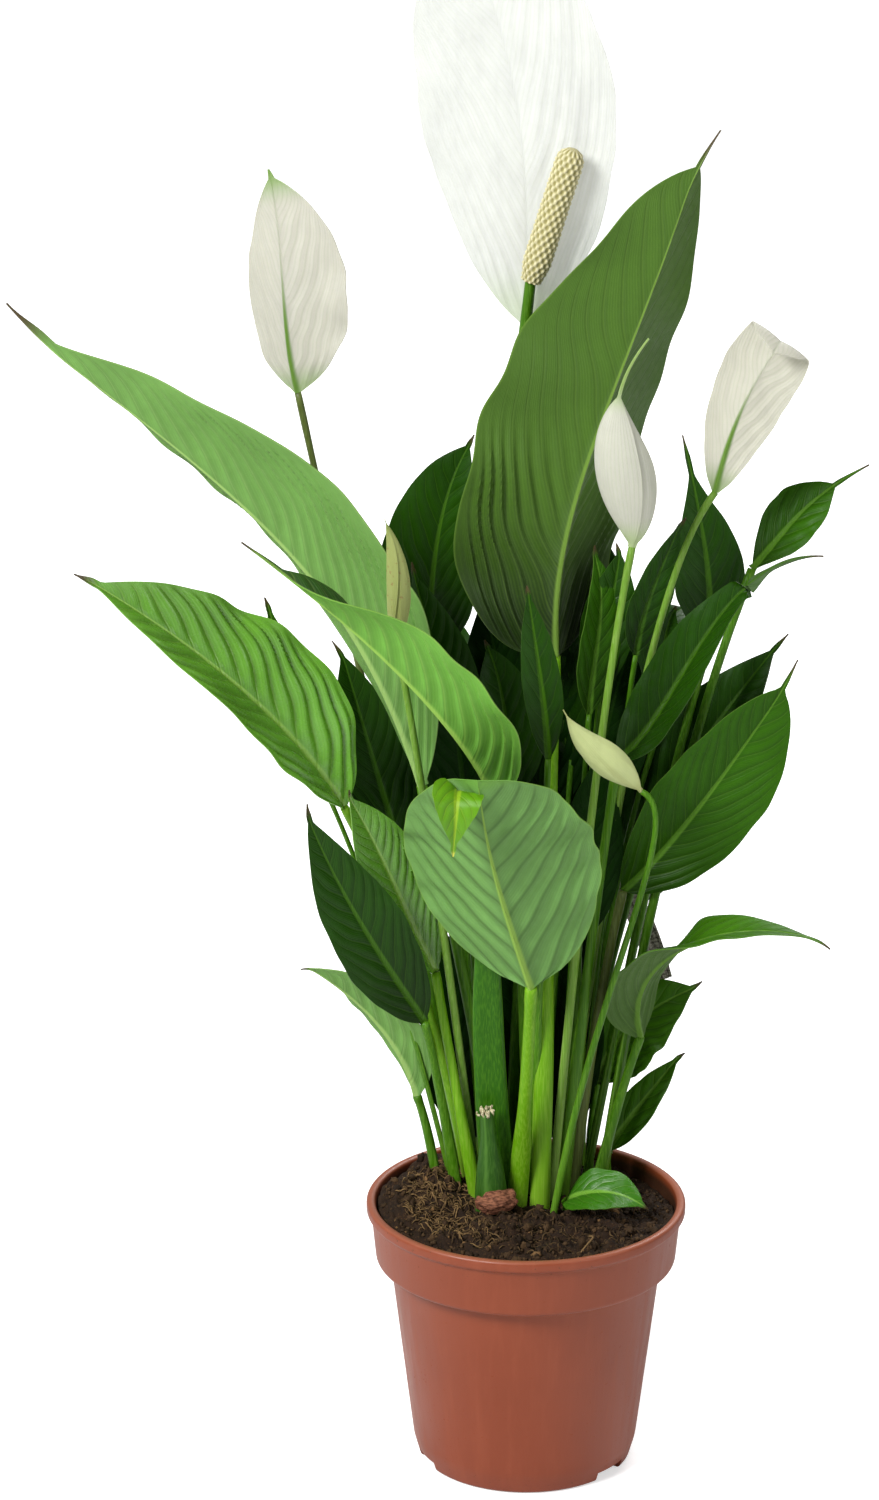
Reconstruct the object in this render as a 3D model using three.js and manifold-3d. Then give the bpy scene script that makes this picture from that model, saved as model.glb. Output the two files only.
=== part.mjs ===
// A peace lily in a 12 cm nursery pot: pot, soil, leaf blades, leaf stalks, spathes, spadices and flower stalks.
// Millimetres, +Z up. The origin is the centre of the pot's underside, and -Y is the front.

import * as THREE from "three";
import { mergeVertices } from "three/addons/utils/BufferGeometryUtils.js";
import Module from "manifold-3d";

const wasm = await Module();
wasm.setup();

// Driving dimensions of the pot.
const POT_HEIGHT = 103;
const RIM_RADIUS = 60;
const BASE_RADIUS = 40;
const WALL = 1.6;
const FIT_GAP = 0.3;

const LIP_HEIGHT = 5;
const LIP_STEP = 1.8;
const LIP_SLOPE = 1;
const COLLAR_HEIGHT = 23;
const COLLAR_RADIUS = RIM_RADIUS - 3.6;
const WALL_TOP_RADIUS = RIM_RADIUS - 9;
const STEP_DROP = 1.5;
const CHAMFER_HEIGHT = 8;
const CHAMFER_RADIUS = BASE_RADIUS + 2.3;
const POT_SIDES = 48;

const NOTCH_COUNT = 3;
const NOTCH_HEIGHT = 3.8;
const NOTCH_WIDTH = 15;
const NOTCH_DEPTH = 9;
const NOTCH_AZIMUTH = 82;

// Driving dimensions of the soil.
const SOIL_LEVEL = POT_HEIGHT - 5;
const SOIL_SIDES = 40;
const SOIL_RINGS = [0.88, 0.72, 0.54, 0.34, 0.14];
const SOIL_MOUNDS = [
  { x: -27, y: 10, height: 5.5, spread: 16 },
  { x: -4, y: -18, height: 2.5, spread: 16 },
  { x: 38, y: 20, height: -5, spread: 17 },
];
const SOIL_CLEARANCE = 1;
const ROOT_DEPTH = 9;
const SOCKET_CLEARANCE = 0.45;

// Driving dimensions of the plant.
const BLADE_THICKNESS = 0.9;
const BLADE_STEPS = 10;
const BLADE_COLUMNS = 2;
const BLADE_BASE = 1.6;
const BLADE_TIP = 0.35;
const NECK_GAP = 1;
const NECK_JOIN = -1.2;
const LEAF_RISE = 0.75;
const LEAF_TAPER = 1.25;
const SPATHE_RISE = 0.55;
const SPATHE_TAPER = 0.85;
const BUD_NECK = 0.12;
const BUD_SIDES = 8;
const BUD_STEPS = 8;
const STALK_SIDES = 6;
const STALK_STEPS = 7;
const LEAF_STALK = 2.2;
const FLOWER_STALK = 1.7;
const SPADIX_SIDES = 10;
const SPADIX_CAPS = 3;

const FINISHES = {
  pot: { color: 0xb5603d, roughness: 0.45 },
  soil: { color: 0x33221a, roughness: 0.95 },
  bark: { color: 0x7a4a36, roughness: 0.9 },
  leaf: { color: 0x3f7d2c, roughness: 0.4 },
  darkLeaf: { color: 0x28521c, roughness: 0.4 },
  paleLeaf: { color: 0x6ea253, roughness: 0.5 },
  stalk: { color: 0x6fa33c, roughness: 0.5 },
  cutStalk: { color: 0x3c6a2b, roughness: 0.6 },
  spathe: { color: 0xf1f1ea, roughness: 0.55 },
  bud: { color: 0xdfe3c0, roughness: 0.55 },
  spadix: { color: 0xe6dfa8, roughness: 0.7 },
};

// Each leaf: where its stalk leaves the crown, the knee that the stalk bends towards, four points that the
// midrib passes through from neck to tip, the way that the upper side faces, the half width, and how many
// degrees each half is folded up. A leaf marked whole has its blade and its stalk in one node.
const LEAVES = [
  {
    name: "upper_left",
    root: [-6, 17],
    knee: [-21, 9, 180],
    rib: [[-39, 2, 266], [-70, 6, 332], [-117, 2, 385], [-185, -10, 444]],
    face: [0.53, 0.7, 0.46],
    half: 32,
    fold: 30,
    finish: "paleLeaf",
    stalk: 2.6,
  },
  {
    name: "left",
    root: [-20, 17],
    knee: [-34, 10, 190],
    rib: [[-67, -14, 263], [-91, -22, 298], [-123, -34, 331], [-160, -48, 361]],
    face: [0.5, -0.6, 0.56],
    half: 28,
    fold: 25,
    finish: "leaf",
  },
  {
    name: "front_left",
    root: [-9, 7],
    knee: [-19, -3, 195],
    rib: [[-12, -20, 268], [-32, -36, 305], [-66, -50, 344], [-102, -62, 375]],
    face: [0.5, 0.5, 0.65],
    tipFace: [0.54, -0.5, 0.68],
    half: 24,
    fold: 35,
    finish: "paleLeaf",
    stalk: 3.6,
  },
  {
    name: "centre",
    root: [5, 1],
    knee: [8, 3, 215],
    rib: [[10, 30, 307], [17, 36, 365], [39, 42, 427], [64, 50, 500]],
    face: [-0.46, 0.87, 0.14],
    half: 39,
    fold: 29,
    finish: "darkLeaf",
    rise: 0.45,
    taper: 0.95,
    stalk: 2.8,
  },
  {
    name: "behind_left",
    root: [-10, 30],
    knee: [-26, 34, 200],
    rib: [[-36, 46, 300], [-35, 48, 331], [-30, 50, 361], [-19, 52, 385]],
    face: [-0.3, -0.9, 0.3],
    half: 20,
    fold: 15,
    finish: "darkLeaf",
  },
  {
    name: "front",
    root: [-4, 4],
    knee: [0, -9, 150],
    rib: [[1, -24, 197], [-10, -38, 233], [-16, -49, 260], [-24, -60, 286]],
    face: [0.1, 0.9, 0.4],
    half: 39,
    fold: 10,
    finish: "paleLeaf",
    rise: 0.7,
    taper: 0.6,
    stalk: 2.8,
  },
  {
    name: "inner_left",
    root: [-17, 4],
    knee: [-27, 2, 149],
    rib: [[-34, 2, 193], [-46, -4, 222], [-57, -10, 249], [-67, -18, 270]],
    face: [0.3, -0.8, 0.5],
    half: 14,
    fold: 15,
    finish: "leaf",
  },
  {
    name: "lower_left_dark",
    root: [-25, 9],
    knee: [-30, 5, 136],
    rib: [[-38, -8, 177], [-54, -16, 206], [-69, -22, 236], [-82, -28, 269]],
    face: [0.2, -0.9, 0.4],
    half: 15,
    fold: 12,
    finish: "darkLeaf",
  },
  {
    name: "lower_left_pale",
    root: [-32, 17],
    knee: [-36, 16, 124],
    rib: [[-41, 14, 139], [-52, 12, 164], [-68, 8, 183], [-83, 4, 195]],
    face: [0.5, 0.6, 0.6],
    half: 13,
    fold: 20,
    finish: "paleLeaf",
  },
  {
    name: "upright_right",
    root: [21, 27],
    knee: [46, 34, 231],
    rib: [[68, 50, 307], [67, 52, 334], [63, 54, 358], [58, 56, 384]],
    face: [0.2, -0.9, 0.3],
    half: 14,
    fold: 10,
    finish: "darkLeaf",
  },
  {
    name: "upper_right",
    root: [27, 20],
    knee: [46, 24, 240],
    rib: [[83, 45, 336], [95, 47, 350], [107, 49, 362], [126, 50, 374]],
    face: [-0.3, -0.7, 0.6],
    half: 11.5,
    fold: 10,
    finish: "leaf",
  },
  {
    name: "long_right",
    root: [13, 12],
    knee: [22, 12, 194],
    rib: [[33, 14, 272], [53, 16, 298], [75, 16, 333], [107, 14, 350]],
    face: [-0.5, -0.7, 0.5],
    half: 14,
    fold: 25,
    finish: "darkLeaf",
  },
  {
    name: "right",
    root: [17, 18],
    knee: [24, 18, 164],
    rib: [[36, 24, 217], [58, 22, 243], [79, 20, 274], [100, 16, 308]],
    face: [0.3, -0.9, 0.2],
    half: 21,
    fold: 14,
    finish: "leaf",
    taper: 1.5,
  },
  {
    name: "behind_right",
    root: [14, 33],
    knee: [25, 34, 163],
    rib: [[43, 44, 222], [61, 46, 259], [79, 48, 286], [97, 50, 310]],
    face: [-0.3, -0.8, 0.5],
    half: 18,
    fold: 12,
    finish: "darkLeaf",
  },
  {
    name: "lower_right",
    root: [23, 10],
    knee: [34, 18, 134],
    rib: [[43, 18, 161], [50, 12, 193], [80, 4, 208], [112, -4, 205]],
    face: [-0.5, 0.5, 0.7],
    tipFace: [0, -0.2, 1],
    half: 16,
    fold: 12,
    finish: "paleLeaf",
  },
  {
    name: "lower_right_dark",
    root: [24, 33],
    knee: [25, 38, 120],
    rib: [[29, 40, 134], [38, 42, 149], [51, 44, 162], [68, 46, 170]],
    face: [-0.4, -0.8, 0.5],
    half: 13,
    fold: 12,
    finish: "darkLeaf",
    whole: true,
  },
  {
    name: "low_right_small",
    root: [33, 34],
    knee: [30, 33, 104],
    rib: [[32, 34, 108], [40, 36, 120], [50, 38, 133], [60, 40, 146]],
    face: [-0.4, -0.8, 0.5],
    half: 6.5,
    fold: 12,
    finish: "darkLeaf",
    whole: true,
  },
  {
    name: "soil_level",
    root: [16, 2],
    knee: [16, 1, 100],
    rib: [[17, 0, 104], [24, -5, 110], [34, -10, 112], [45, -16, 108]],
    face: [0, -0.5, 0.85],
    half: 9,
    fold: 10,
    finish: "leaf",
    whole: true,
  },
  {
    name: "inner_centre",
    root: [4, 20],
    knee: [-2, 30, 192],
    rib: [[-6, 38, 249], [-7, 40, 270], [-10, 42, 291], [-16, 44, 309]],
    face: [0.2, -0.9, 0.4],
    half: 14,
    fold: 15,
    finish: "darkLeaf",
    whole: true,
  },
  {
    name: "inner_far_left",
    root: [-24, 27],
    knee: [-32, 24, 174],
    rib: [[-47, 24, 233], [-55, 26, 260], [-62, 28, 285], [-70, 30, 313]],
    face: [0.2, -0.9, 0.4],
    half: 15,
    fold: 15,
    finish: "darkLeaf",
    whole: true,
  },
  {
    name: "inner_upper_left",
    root: [-14, 21],
    knee: [-21, 26, 189],
    rib: [[-30, 30, 255], [-30, 32, 285], [-36, 34, 314], [-43, 36, 341]],
    face: [0.2, -0.9, 0.3],
    half: 14,
    fold: 15,
    finish: "darkLeaf",
    whole: true,
  },
  {
    name: "inner_right",
    root: [21, 43],
    knee: [22, 54, 158],
    rib: [[33, 54, 200], [45, 56, 222], [55, 58, 245], [61, 60, 272]],
    face: [-0.2, -0.9, 0.4],
    half: 18,
    fold: 12,
    finish: "darkLeaf",
    whole: true,
  },
  {
    name: "back_left",
    root: [-16, 38],
    knee: [-20, 62, 180],
    rib: [[-26, 84, 235], [-34, 108, 268], [-42, 130, 286], [-54, 150, 290]],
    face: [0, -0.6, 0.8],
    half: 20,
    fold: 14,
    finish: "leaf",
    whole: true,
  },
  {
    name: "back_centre",
    root: [1, 46],
    knee: [2, 70, 185],
    rib: [[4, 92, 250], [8, 118, 292], [12, 142, 316], [20, 166, 322]],
    face: [0, -0.6, 0.8],
    half: 22,
    fold: 14,
    finish: "leaf",
    whole: true,
  },
  {
    name: "back_right",
    root: [11, 38],
    knee: [20, 66, 170],
    rib: [[30, 80, 225], [42, 104, 262], [52, 126, 285], [66, 146, 292]],
    face: [0, -0.6, 0.8],
    half: 20,
    fold: 14,
    finish: "leaf",
    whole: true,
  },
];

// Each flower: its stalk as for a leaf, and its spathe. An open spathe is a blade, and a closed one is rolled
// into a spindle, half as wide as its half width says and as deep as its depth says.
const FLOWERS = [
  {
    name: "top",
    root: [2, 32],
    knee: [-3, 56, 230],
    rib: [[-2, 64, 424], [0, 66, 476], [-8, 68, 528], [-27, 70, 578]],
    face: [0.1, -1, 0.1],
    half: 35.5,
    fold: 14,
    finish: "spathe",
    spadix: { foot: [1, 57, 442], tip: [16, 52, 492], radius: 5 },
  },
  {
    name: "left",
    root: [-16, 29],
    knee: [-66, 52, 310],
    rib: [[-84, 38, 405], [-88, 38, 430], [-90, 40, 457], [-94, 44, 486]],
    face: [0.42, 0.9, 0.1],
    half: 23,
    fold: 25,
    finish: "spathe",
    spadix: { foot: [-86, 44, 428], tip: [-84, 48, 463], radius: 4 },
  },
  {
    name: "centre",
    root: [9, 9],
    knee: [24, -2, 290],
    rib: [[37, 4, 356], [35, 4, 381], [33, 4, 403], [37, 4, 434]],
    half: 11,
    depth: 8,
    finish: "spathe",
  },
  {
    name: "right",
    root: [14, 25],
    knee: [45, 32, 315],
    rib: [[68, 28, 370], [75, 26, 394], [85, 24, 419], [101, 20, 428]],
    half: 13,
    depth: 9,
    finish: "spathe",
  },
  {
    name: "old_bud",
    root: [-17, 13],
    knee: [-36, -8, 260],
    rib: [[-48, -16, 327], [-47, -18, 343], [-48, -19, 358], [-52, -20, 373]],
    half: 4.5,
    depth: 4,
    finish: "bud",
  },
  {
    name: "nodding_bud",
    root: [9, -4],
    knee: [34, -5, 180],
    rib: [[41, -8, 267], [31, -12, 278], [21, -16, 288], [12, -20, 302]],
    half: 5.5,
    depth: 4.5,
    finish: "bud",
    hook: [58, -8, 262],
  },
];

const STUB = { foot: [-13, -6], knee: [-13, -6, 118], tip: [-15, -6, 134], radius: 3.4 };
const CHIP = { centre: [-8, -12, 102], size: [6.5, 4.5, 3], turn: 20 };

const RADIANS = Math.PI / 180;
const MERGE_DISTANCE = 1e-3;

function vector([x, y, z]) {
  return new THREE.Vector3(x, y, z);
}

function mesh(name, geometry, finish) {
  const material = new THREE.MeshStandardMaterial({ ...FINISHES[finish], metalness: 0 });
  const made = new THREE.Mesh(geometry, material);
  made.name = name;
  return made;
}

// ---- solids: joins and cuts ----

function solidOf(geometry) {
  const bare = new THREE.BufferGeometry();
  bare.setAttribute("position", geometry.getAttribute("position"));
  bare.setIndex(geometry.index);
  const merged = mergeVertices(bare, MERGE_DISTANCE);
  return new wasm.Manifold(
    new wasm.Mesh({
      numProp: 3,
      vertProperties: merged.getAttribute("position").array,
      triVerts: new Uint32Array(merged.index.array),
    }),
  );
}

function geometryOf(solid) {
  const { vertProperties, triVerts } = solid.getMesh();
  const geometry = new THREE.BufferGeometry();
  geometry.setAttribute("position", new THREE.BufferAttribute(vertProperties, 3));
  geometry.setIndex(new THREE.BufferAttribute(triVerts, 1));
  geometry.computeVertexNormals();
  return geometry;
}

// A closed skin over rings of points, each ring with the same even number of points, the ends closed by strips.
function loft(rings) {
  const count = rings[0].length;
  const last = (rings.length - 1) * count;
  const index = [];
  const quad = (a, b, c, d) => index.push(a, b, c, a, c, d);
  for (let row = 0; row < last; row += count) {
    for (let k = 0; k < count; k++) {
      const next = (k + 1) % count;
      quad(row + k, row + next, row + next + count, row + k + count);
    }
  }
  for (let k = 0; k < count / 2 - 1; k++) {
    quad(count - 1 - k, count - 2 - k, k + 1, k);
    quad(last + k, last + k + 1, last + count - 2 - k, last + count - 1 - k);
  }
  const geometry = new THREE.BufferGeometry().setFromPoints(rings.flat());
  geometry.setIndex(index);
  geometry.computeVertexNormals();
  return geometry;
}

// ---- curves ----

// The cubic curve that passes through four points at even steps.
function curveThrough(points) {
  const [a, b, c, d] = points.map(vector);
  const mix = (wa, wb, wc, wd) =>
    new THREE.Vector3()
      .addScaledVector(a, wa / 6)
      .addScaledVector(b, wb / 6)
      .addScaledVector(c, wc / 6)
      .addScaledVector(d, wd / 6);
  return new THREE.CubicBezierCurve3(a, mix(-5, 18, -9, 2), mix(2, -9, 18, -5), d);
}

function soilHeight(x, y) {
  return SOIL_MOUNDS.reduce((level, mound) => {
    const distance = Math.hypot(x - mound.x, y - mound.y) / mound.spread;
    return level + mound.height * Math.exp(-distance * distance);
  }, SOIL_LEVEL);
}

// The line of a stalk from below the soil to the neck, and the same line sunk a little for its socket.
function stalkCurve({ root, knee, hook, rib }, sink = 0) {
  const [x, y] = root;
  const foot = new THREE.Vector3(x, y, soilHeight(x, y) - ROOT_DEPTH - sink);
  const neck = vector(rib[0]);
  if (hook) {
    return new THREE.CubicBezierCurve3(foot, vector(knee), vector(hook), neck);
  }
  return new THREE.QuadraticBezierCurve3(foot, vector(knee), neck);
}

function tube(curve, radius) {
  const section = new THREE.Shape();
  for (let side = 0; side < STALK_SIDES; side++) {
    const angle = (2 * Math.PI * side) / STALK_SIDES;
    const place = side === 0 ? "moveTo" : "lineTo";
    section[place](radius * Math.cos(angle), radius * Math.sin(angle));
  }
  section.closePath();
  return new THREE.ExtrudeGeometry(section, { steps: STALK_STEPS, bevelEnabled: false, extrudePath: curve });
}

// ---- blades ----

// The half width from neck, t = 0, to tip, t = 1, with its peak at 1.
function outline(t, rise, taper) {
  const peak = rise / (rise + taper);
  const value = (s) => s ** rise * (1 - s) ** taper;
  return value(t) / value(peak);
}

function bladeRing(plan, curve, t, start) {
  const centre = curve.getPoint(t);
  const along = curve.getTangent(t);
  const face = vector(plan.face).lerp(vector(plan.tipFace ?? plan.face), t);
  const up = face.addScaledVector(along, -face.dot(along)).normalize();
  const side = new THREE.Vector3().crossVectors(along, up);
  const edge = THREE.MathUtils.lerp(BLADE_BASE, BLADE_TIP, t);
  const half = Math.max(edge, plan.half * outline(t, plan.rise, plan.taper));
  const fold = plan.fold * RADIANS;
  centre.addScaledVector(along, start * (1 - t));
  const at = (u, lift) =>
    centre
      .clone()
      .addScaledVector(side, half * u * Math.cos(fold))
      .addScaledVector(up, half * Math.abs(u) * Math.sin(fold) + lift);
  const steps = [];
  for (let column = -BLADE_COLUMNS; column <= BLADE_COLUMNS; column++) {
    steps.push(column / BLADE_COLUMNS);
  }
  const upper = steps.map((u) => at(u, BLADE_THICKNESS / 2));
  const lower = steps.map((u) => at(u, -BLADE_THICKNESS / 2)).reverse();
  return upper.concat(lower);
}

function blade(plan, start) {
  const curve = curveThrough(plan.rib);
  const rings = [];
  for (let step = 0; step <= BLADE_STEPS; step++) {
    rings.push(bladeRing(plan, curve, step / BLADE_STEPS, start));
  }
  return loft(rings);
}

// A closed spathe rolled into a spindle round its midrib.
function bud({ rib, half, depth }) {
  const curve = curveThrough(rib);
  const rings = [];
  for (let step = 0; step <= BUD_STEPS; step++) {
    const t = step / BUD_STEPS;
    const along = curve.getTangent(t);
    const back = new THREE.Vector3(0, 1, 0);
    back.addScaledVector(along, -back.dot(along)).normalize();
    const side = new THREE.Vector3().crossVectors(back, along);
    const size = Math.max(BUD_NECK, outline(t, SPATHE_RISE, SPATHE_TAPER));
    const centre = curve.getPoint(t).addScaledVector(along, NECK_GAP * (1 - t));
    const ring = [];
    for (let k = 0; k < BUD_SIDES; k++) {
      const angle = (2 * Math.PI * k) / BUD_SIDES;
      const point = centre.clone();
      point.addScaledVector(side, size * half * Math.cos(angle));
      point.addScaledVector(back, size * depth * Math.sin(angle));
      ring.push(point);
    }
    rings.push(ring);
  }
  return loft(rings);
}

function spadix({ foot, tip, radius }) {
  const from = vector(foot);
  const axis = vector(tip).sub(from);
  const length = axis.length();
  const geometry = new THREE.CapsuleGeometry(radius, length - 2 * radius, SPADIX_CAPS, SPADIX_SIDES);
  geometry.translate(0, length / 2, 0);
  const turn = new THREE.Quaternion().setFromUnitVectors(new THREE.Vector3(0, 1, 0), axis.normalize());
  geometry.applyQuaternion(turn);
  geometry.translate(from.x, from.y, from.z);
  return geometry;
}

// ---- pot and soil ----

function potGeometry() {
  const profile = [
    [0, 0],
    [BASE_RADIUS, 0],
    [CHAMFER_RADIUS, CHAMFER_HEIGHT],
    [WALL_TOP_RADIUS, POT_HEIGHT - COLLAR_HEIGHT - STEP_DROP],
    [COLLAR_RADIUS, POT_HEIGHT - COLLAR_HEIGHT],
    [RIM_RADIUS - LIP_STEP, POT_HEIGHT - LIP_HEIGHT],
    [RIM_RADIUS, POT_HEIGHT - LIP_HEIGHT + LIP_SLOPE],
    [RIM_RADIUS, POT_HEIGHT],
    [RIM_RADIUS - LIP_STEP - WALL, POT_HEIGHT],
    [COLLAR_RADIUS - WALL, POT_HEIGHT - COLLAR_HEIGHT + WALL],
    [WALL_TOP_RADIUS - WALL, POT_HEIGHT - COLLAR_HEIGHT - STEP_DROP + WALL],
    [BASE_RADIUS - WALL, WALL],
    [0, WALL],
  ];
  const shape = new THREE.LatheGeometry(
    profile.map(([radius, z]) => new THREE.Vector2(radius, z)),
    POT_SIDES,
  );
  shape.rotateX(Math.PI / 2);
  let pot = solidOf(shape);
  for (let notch = 0; notch < NOTCH_COUNT; notch++) {
    const cut = new THREE.BoxGeometry(NOTCH_DEPTH, NOTCH_WIDTH, 2 * NOTCH_HEIGHT);
    cut.translate(BASE_RADIUS, 0, 0);
    cut.rotateZ((NOTCH_AZIMUTH + (notch * 360) / NOTCH_COUNT) * RADIANS);
    pot = pot.subtract(solidOf(cut));
  }
  return geometryOf(pot);
}

function soilGeometry(sockets) {
  const ring = (radius, z) => {
    const points = [];
    for (let k = 0; k < SOIL_SIDES; k++) {
      const angle = (2 * Math.PI * k) / SOIL_SIDES;
      const x = radius * Math.cos(angle);
      const y = radius * Math.sin(angle);
      points.push(new THREE.Vector3(x, y, z ?? soilHeight(x, y)));
    }
    return points;
  };
  const inset = WALL + 2 * FIT_GAP;
  const stepZ = POT_HEIGHT - COLLAR_HEIGHT + WALL + FIT_GAP;
  const mouthRadius = RIM_RADIUS - LIP_STEP - inset - SOIL_CLEARANCE;
  const rings = [
    ring(BASE_RADIUS - inset, WALL + FIT_GAP),
    ring(WALL_TOP_RADIUS - inset, stepZ - STEP_DROP),
    ring(COLLAR_RADIUS - inset, stepZ + SOIL_CLEARANCE),
    ring(mouthRadius),
  ];
  for (const share of SOIL_RINGS) {
    rings.push(ring(share * mouthRadius));
  }
  const body = sockets.reduce((soil, socket) => soil.subtract(solidOf(socket)), solidOf(loft(rings)));
  return geometryOf(body);
}

// A flake of bark, wider than it is thick, and the same flake grown for the hollow that it lies in.
function chip(grow) {
  const [x, y, z] = CHIP.centre;
  const geometry = new THREE.IcosahedronGeometry(1, 1);
  geometry.scale(...CHIP.size.map((size) => size + grow));
  geometry.rotateZ(CHIP.turn * RADIANS);
  geometry.translate(x, y, z);
  return geometry;
}

// ---- the whole plant ----

const plant = new THREE.Group();
const sockets = [];

function addStalk(name, plan, radius) {
  sockets.push(tube(stalkCurve(plan, SOCKET_CLEARANCE), radius + SOCKET_CLEARANCE));
  plant.add(mesh(name, tube(stalkCurve(plan), radius), "stalk"));
}

for (const leaf of LEAVES) {
  const plan = { rise: LEAF_RISE, taper: LEAF_TAPER, ...leaf };
  const radius = leaf.stalk ?? LEAF_STALK;
  if (leaf.whole) {
    const stalk = solidOf(tube(stalkCurve(plan), radius));
    sockets.push(tube(stalkCurve(plan, SOCKET_CLEARANCE), radius + SOCKET_CLEARANCE));
    const joined = stalk.add(solidOf(blade(plan, NECK_JOIN)));
    plant.add(mesh("leaf_" + leaf.name, geometryOf(joined), leaf.finish));
    continue;
  }
  plant.add(mesh("leaf_" + leaf.name, blade(plan, NECK_GAP), leaf.finish));
  addStalk("leaf_stalk_" + leaf.name, plan, radius);
}

for (const flower of FLOWERS) {
  const plan = { rise: SPATHE_RISE, taper: SPATHE_TAPER, ...flower };
  const shape = flower.depth ? bud(plan) : blade(plan, NECK_GAP);
  plant.add(mesh("spathe_" + flower.name, shape, flower.finish));
  if (flower.spadix) {
    plant.add(mesh("spadix_" + flower.name, spadix(flower.spadix), "spadix"));
  }
  addStalk("flower_stalk_" + flower.name, plan, FLOWER_STALK);
}

const stubPlan = { root: STUB.foot, knee: STUB.knee, rib: [STUB.tip] };
plant.add(mesh("cut_stub", tube(stalkCurve(stubPlan), STUB.radius), "cutStalk"));
sockets.push(tube(stalkCurve(stubPlan, SOCKET_CLEARANCE), STUB.radius + SOCKET_CLEARANCE));

plant.add(mesh("bark_chip", chip(0), "bark"));
sockets.push(chip(SOCKET_CLEARANCE));

plant.add(mesh("pot", potGeometry(), "pot"));
plant.add(mesh("soil", soilGeometry(sockets), "soil"));

export default plant;
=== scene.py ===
"""A potted peace lily: fine leaves, stalks, flowers, soil and pot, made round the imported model.

Shapes are worked out in millimetres in the model's own frame, and MM turns them into metres.
"""

import math
import zlib
from types import SimpleNamespace

import bmesh
import bpy
import numpy as np
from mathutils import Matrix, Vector, noise


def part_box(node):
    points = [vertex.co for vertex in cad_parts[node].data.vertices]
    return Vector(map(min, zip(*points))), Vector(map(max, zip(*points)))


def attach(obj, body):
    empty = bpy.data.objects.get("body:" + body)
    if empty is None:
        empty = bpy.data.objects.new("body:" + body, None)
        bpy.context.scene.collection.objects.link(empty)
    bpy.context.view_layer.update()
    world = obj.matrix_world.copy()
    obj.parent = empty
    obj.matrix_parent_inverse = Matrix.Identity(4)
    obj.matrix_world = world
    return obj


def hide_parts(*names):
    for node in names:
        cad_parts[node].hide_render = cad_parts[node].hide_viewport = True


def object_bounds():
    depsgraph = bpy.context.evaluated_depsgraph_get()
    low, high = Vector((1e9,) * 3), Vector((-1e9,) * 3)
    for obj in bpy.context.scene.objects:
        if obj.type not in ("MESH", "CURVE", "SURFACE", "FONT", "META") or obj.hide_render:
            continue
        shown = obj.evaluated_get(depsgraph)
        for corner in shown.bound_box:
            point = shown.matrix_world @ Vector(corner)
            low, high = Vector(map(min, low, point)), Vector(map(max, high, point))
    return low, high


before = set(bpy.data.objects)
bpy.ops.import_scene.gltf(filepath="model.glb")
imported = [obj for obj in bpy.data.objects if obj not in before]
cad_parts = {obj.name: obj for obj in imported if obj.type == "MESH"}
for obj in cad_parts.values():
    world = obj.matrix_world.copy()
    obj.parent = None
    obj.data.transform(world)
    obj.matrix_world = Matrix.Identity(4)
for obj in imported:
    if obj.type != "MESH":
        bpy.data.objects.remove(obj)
cad_low, cad_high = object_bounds()

# ---- driving dimensions ----

RIM_RADIUS = 60
pot_low, pot_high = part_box("pot")
MM = (pot_high.x - pot_low.x) / (2 * RIM_RADIUS)
POT_HEIGHT = (pot_high.z - pot_low.z) / MM

BASE_RADIUS = 40
WALL = 1.6
LIP_HEIGHT = 5
LIP_STEP = 1.8
COLLAR_HEIGHT = 23
COLLAR_RADIUS = RIM_RADIUS - 3.6
WALL_TOP_RADIUS = RIM_RADIUS - 9
STEP_DROP = 1.5
CHAMFER_HEIGHT = 8
CHAMFER_RADIUS = BASE_RADIUS + 2.3
NOTCH_COUNT = 3
NOTCH_HEIGHT = 3.8
NOTCH_WIDTH = 15
NOTCH_DEPTH = 9
NOTCH_AZIMUTH = 82
POT_SIDES = 160

SOIL_LEVEL = POT_HEIGHT - 5
SOIL_MOUNDS = ((-27, 10, 5.5, 16), (-4, -18, 2.5, 16), (38, 20, -5, 17))
LOOSE_HEAPS = (
    (-42, 4, 6.5, 16), (-26, -38, 3.5, 17), (8, -46, 2.6, 18), (-30, 36, 7.0, 16), (-46, -16, 2.5, 12)
)
SOIL_RADIUS = RIM_RADIUS - LIP_STEP - WALL - 1
ROOT_DEPTH = 9
SOIL_SEED = 3.0
FIBRE_REACH = SOIL_RADIUS - 9
FIBRE_SIDES = 5
WHITE_ROOT_FOOT = (23, -28)
WHITE_ROOT_BENDS = ((27, -36, 103.5), (20, -42, 102.5))
WHITE_ROOT_END = (18, -48)
WHITE_ROOT_RADIUS = 0.42
WHITE_ROOT_SIDES = 8
DRY_STRIP = ((37, 50, 212), (44, 49, 196), (53, 50, 172))
DRY_STRIP_HALF = 4.6
STIPE_FOOT = (-2, 62, 414)
STIPE_TIP = (1, 57, 444)

ROW_STEP = 1.5
COLUMN_STEP = 0.8
VEIN_STEP = 8.5
TAIL = 0.055
TAIL_WIDTH = 0.8
BLADE_THICKNESS = 0.45
TIP_WIDTH = 0.25
STALK_SIDES = 16
STALK_ROWS = 46
NECK_SHARE = 0.78


# ---- what grows where ----
# The points of the leaves and flowers began as places read off the photo, each with a chosen depth. A
# scratch script turned them into millimetres, and they were rounded and partly adjusted by hand. They don't
# come from the model's own boxes.


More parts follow.
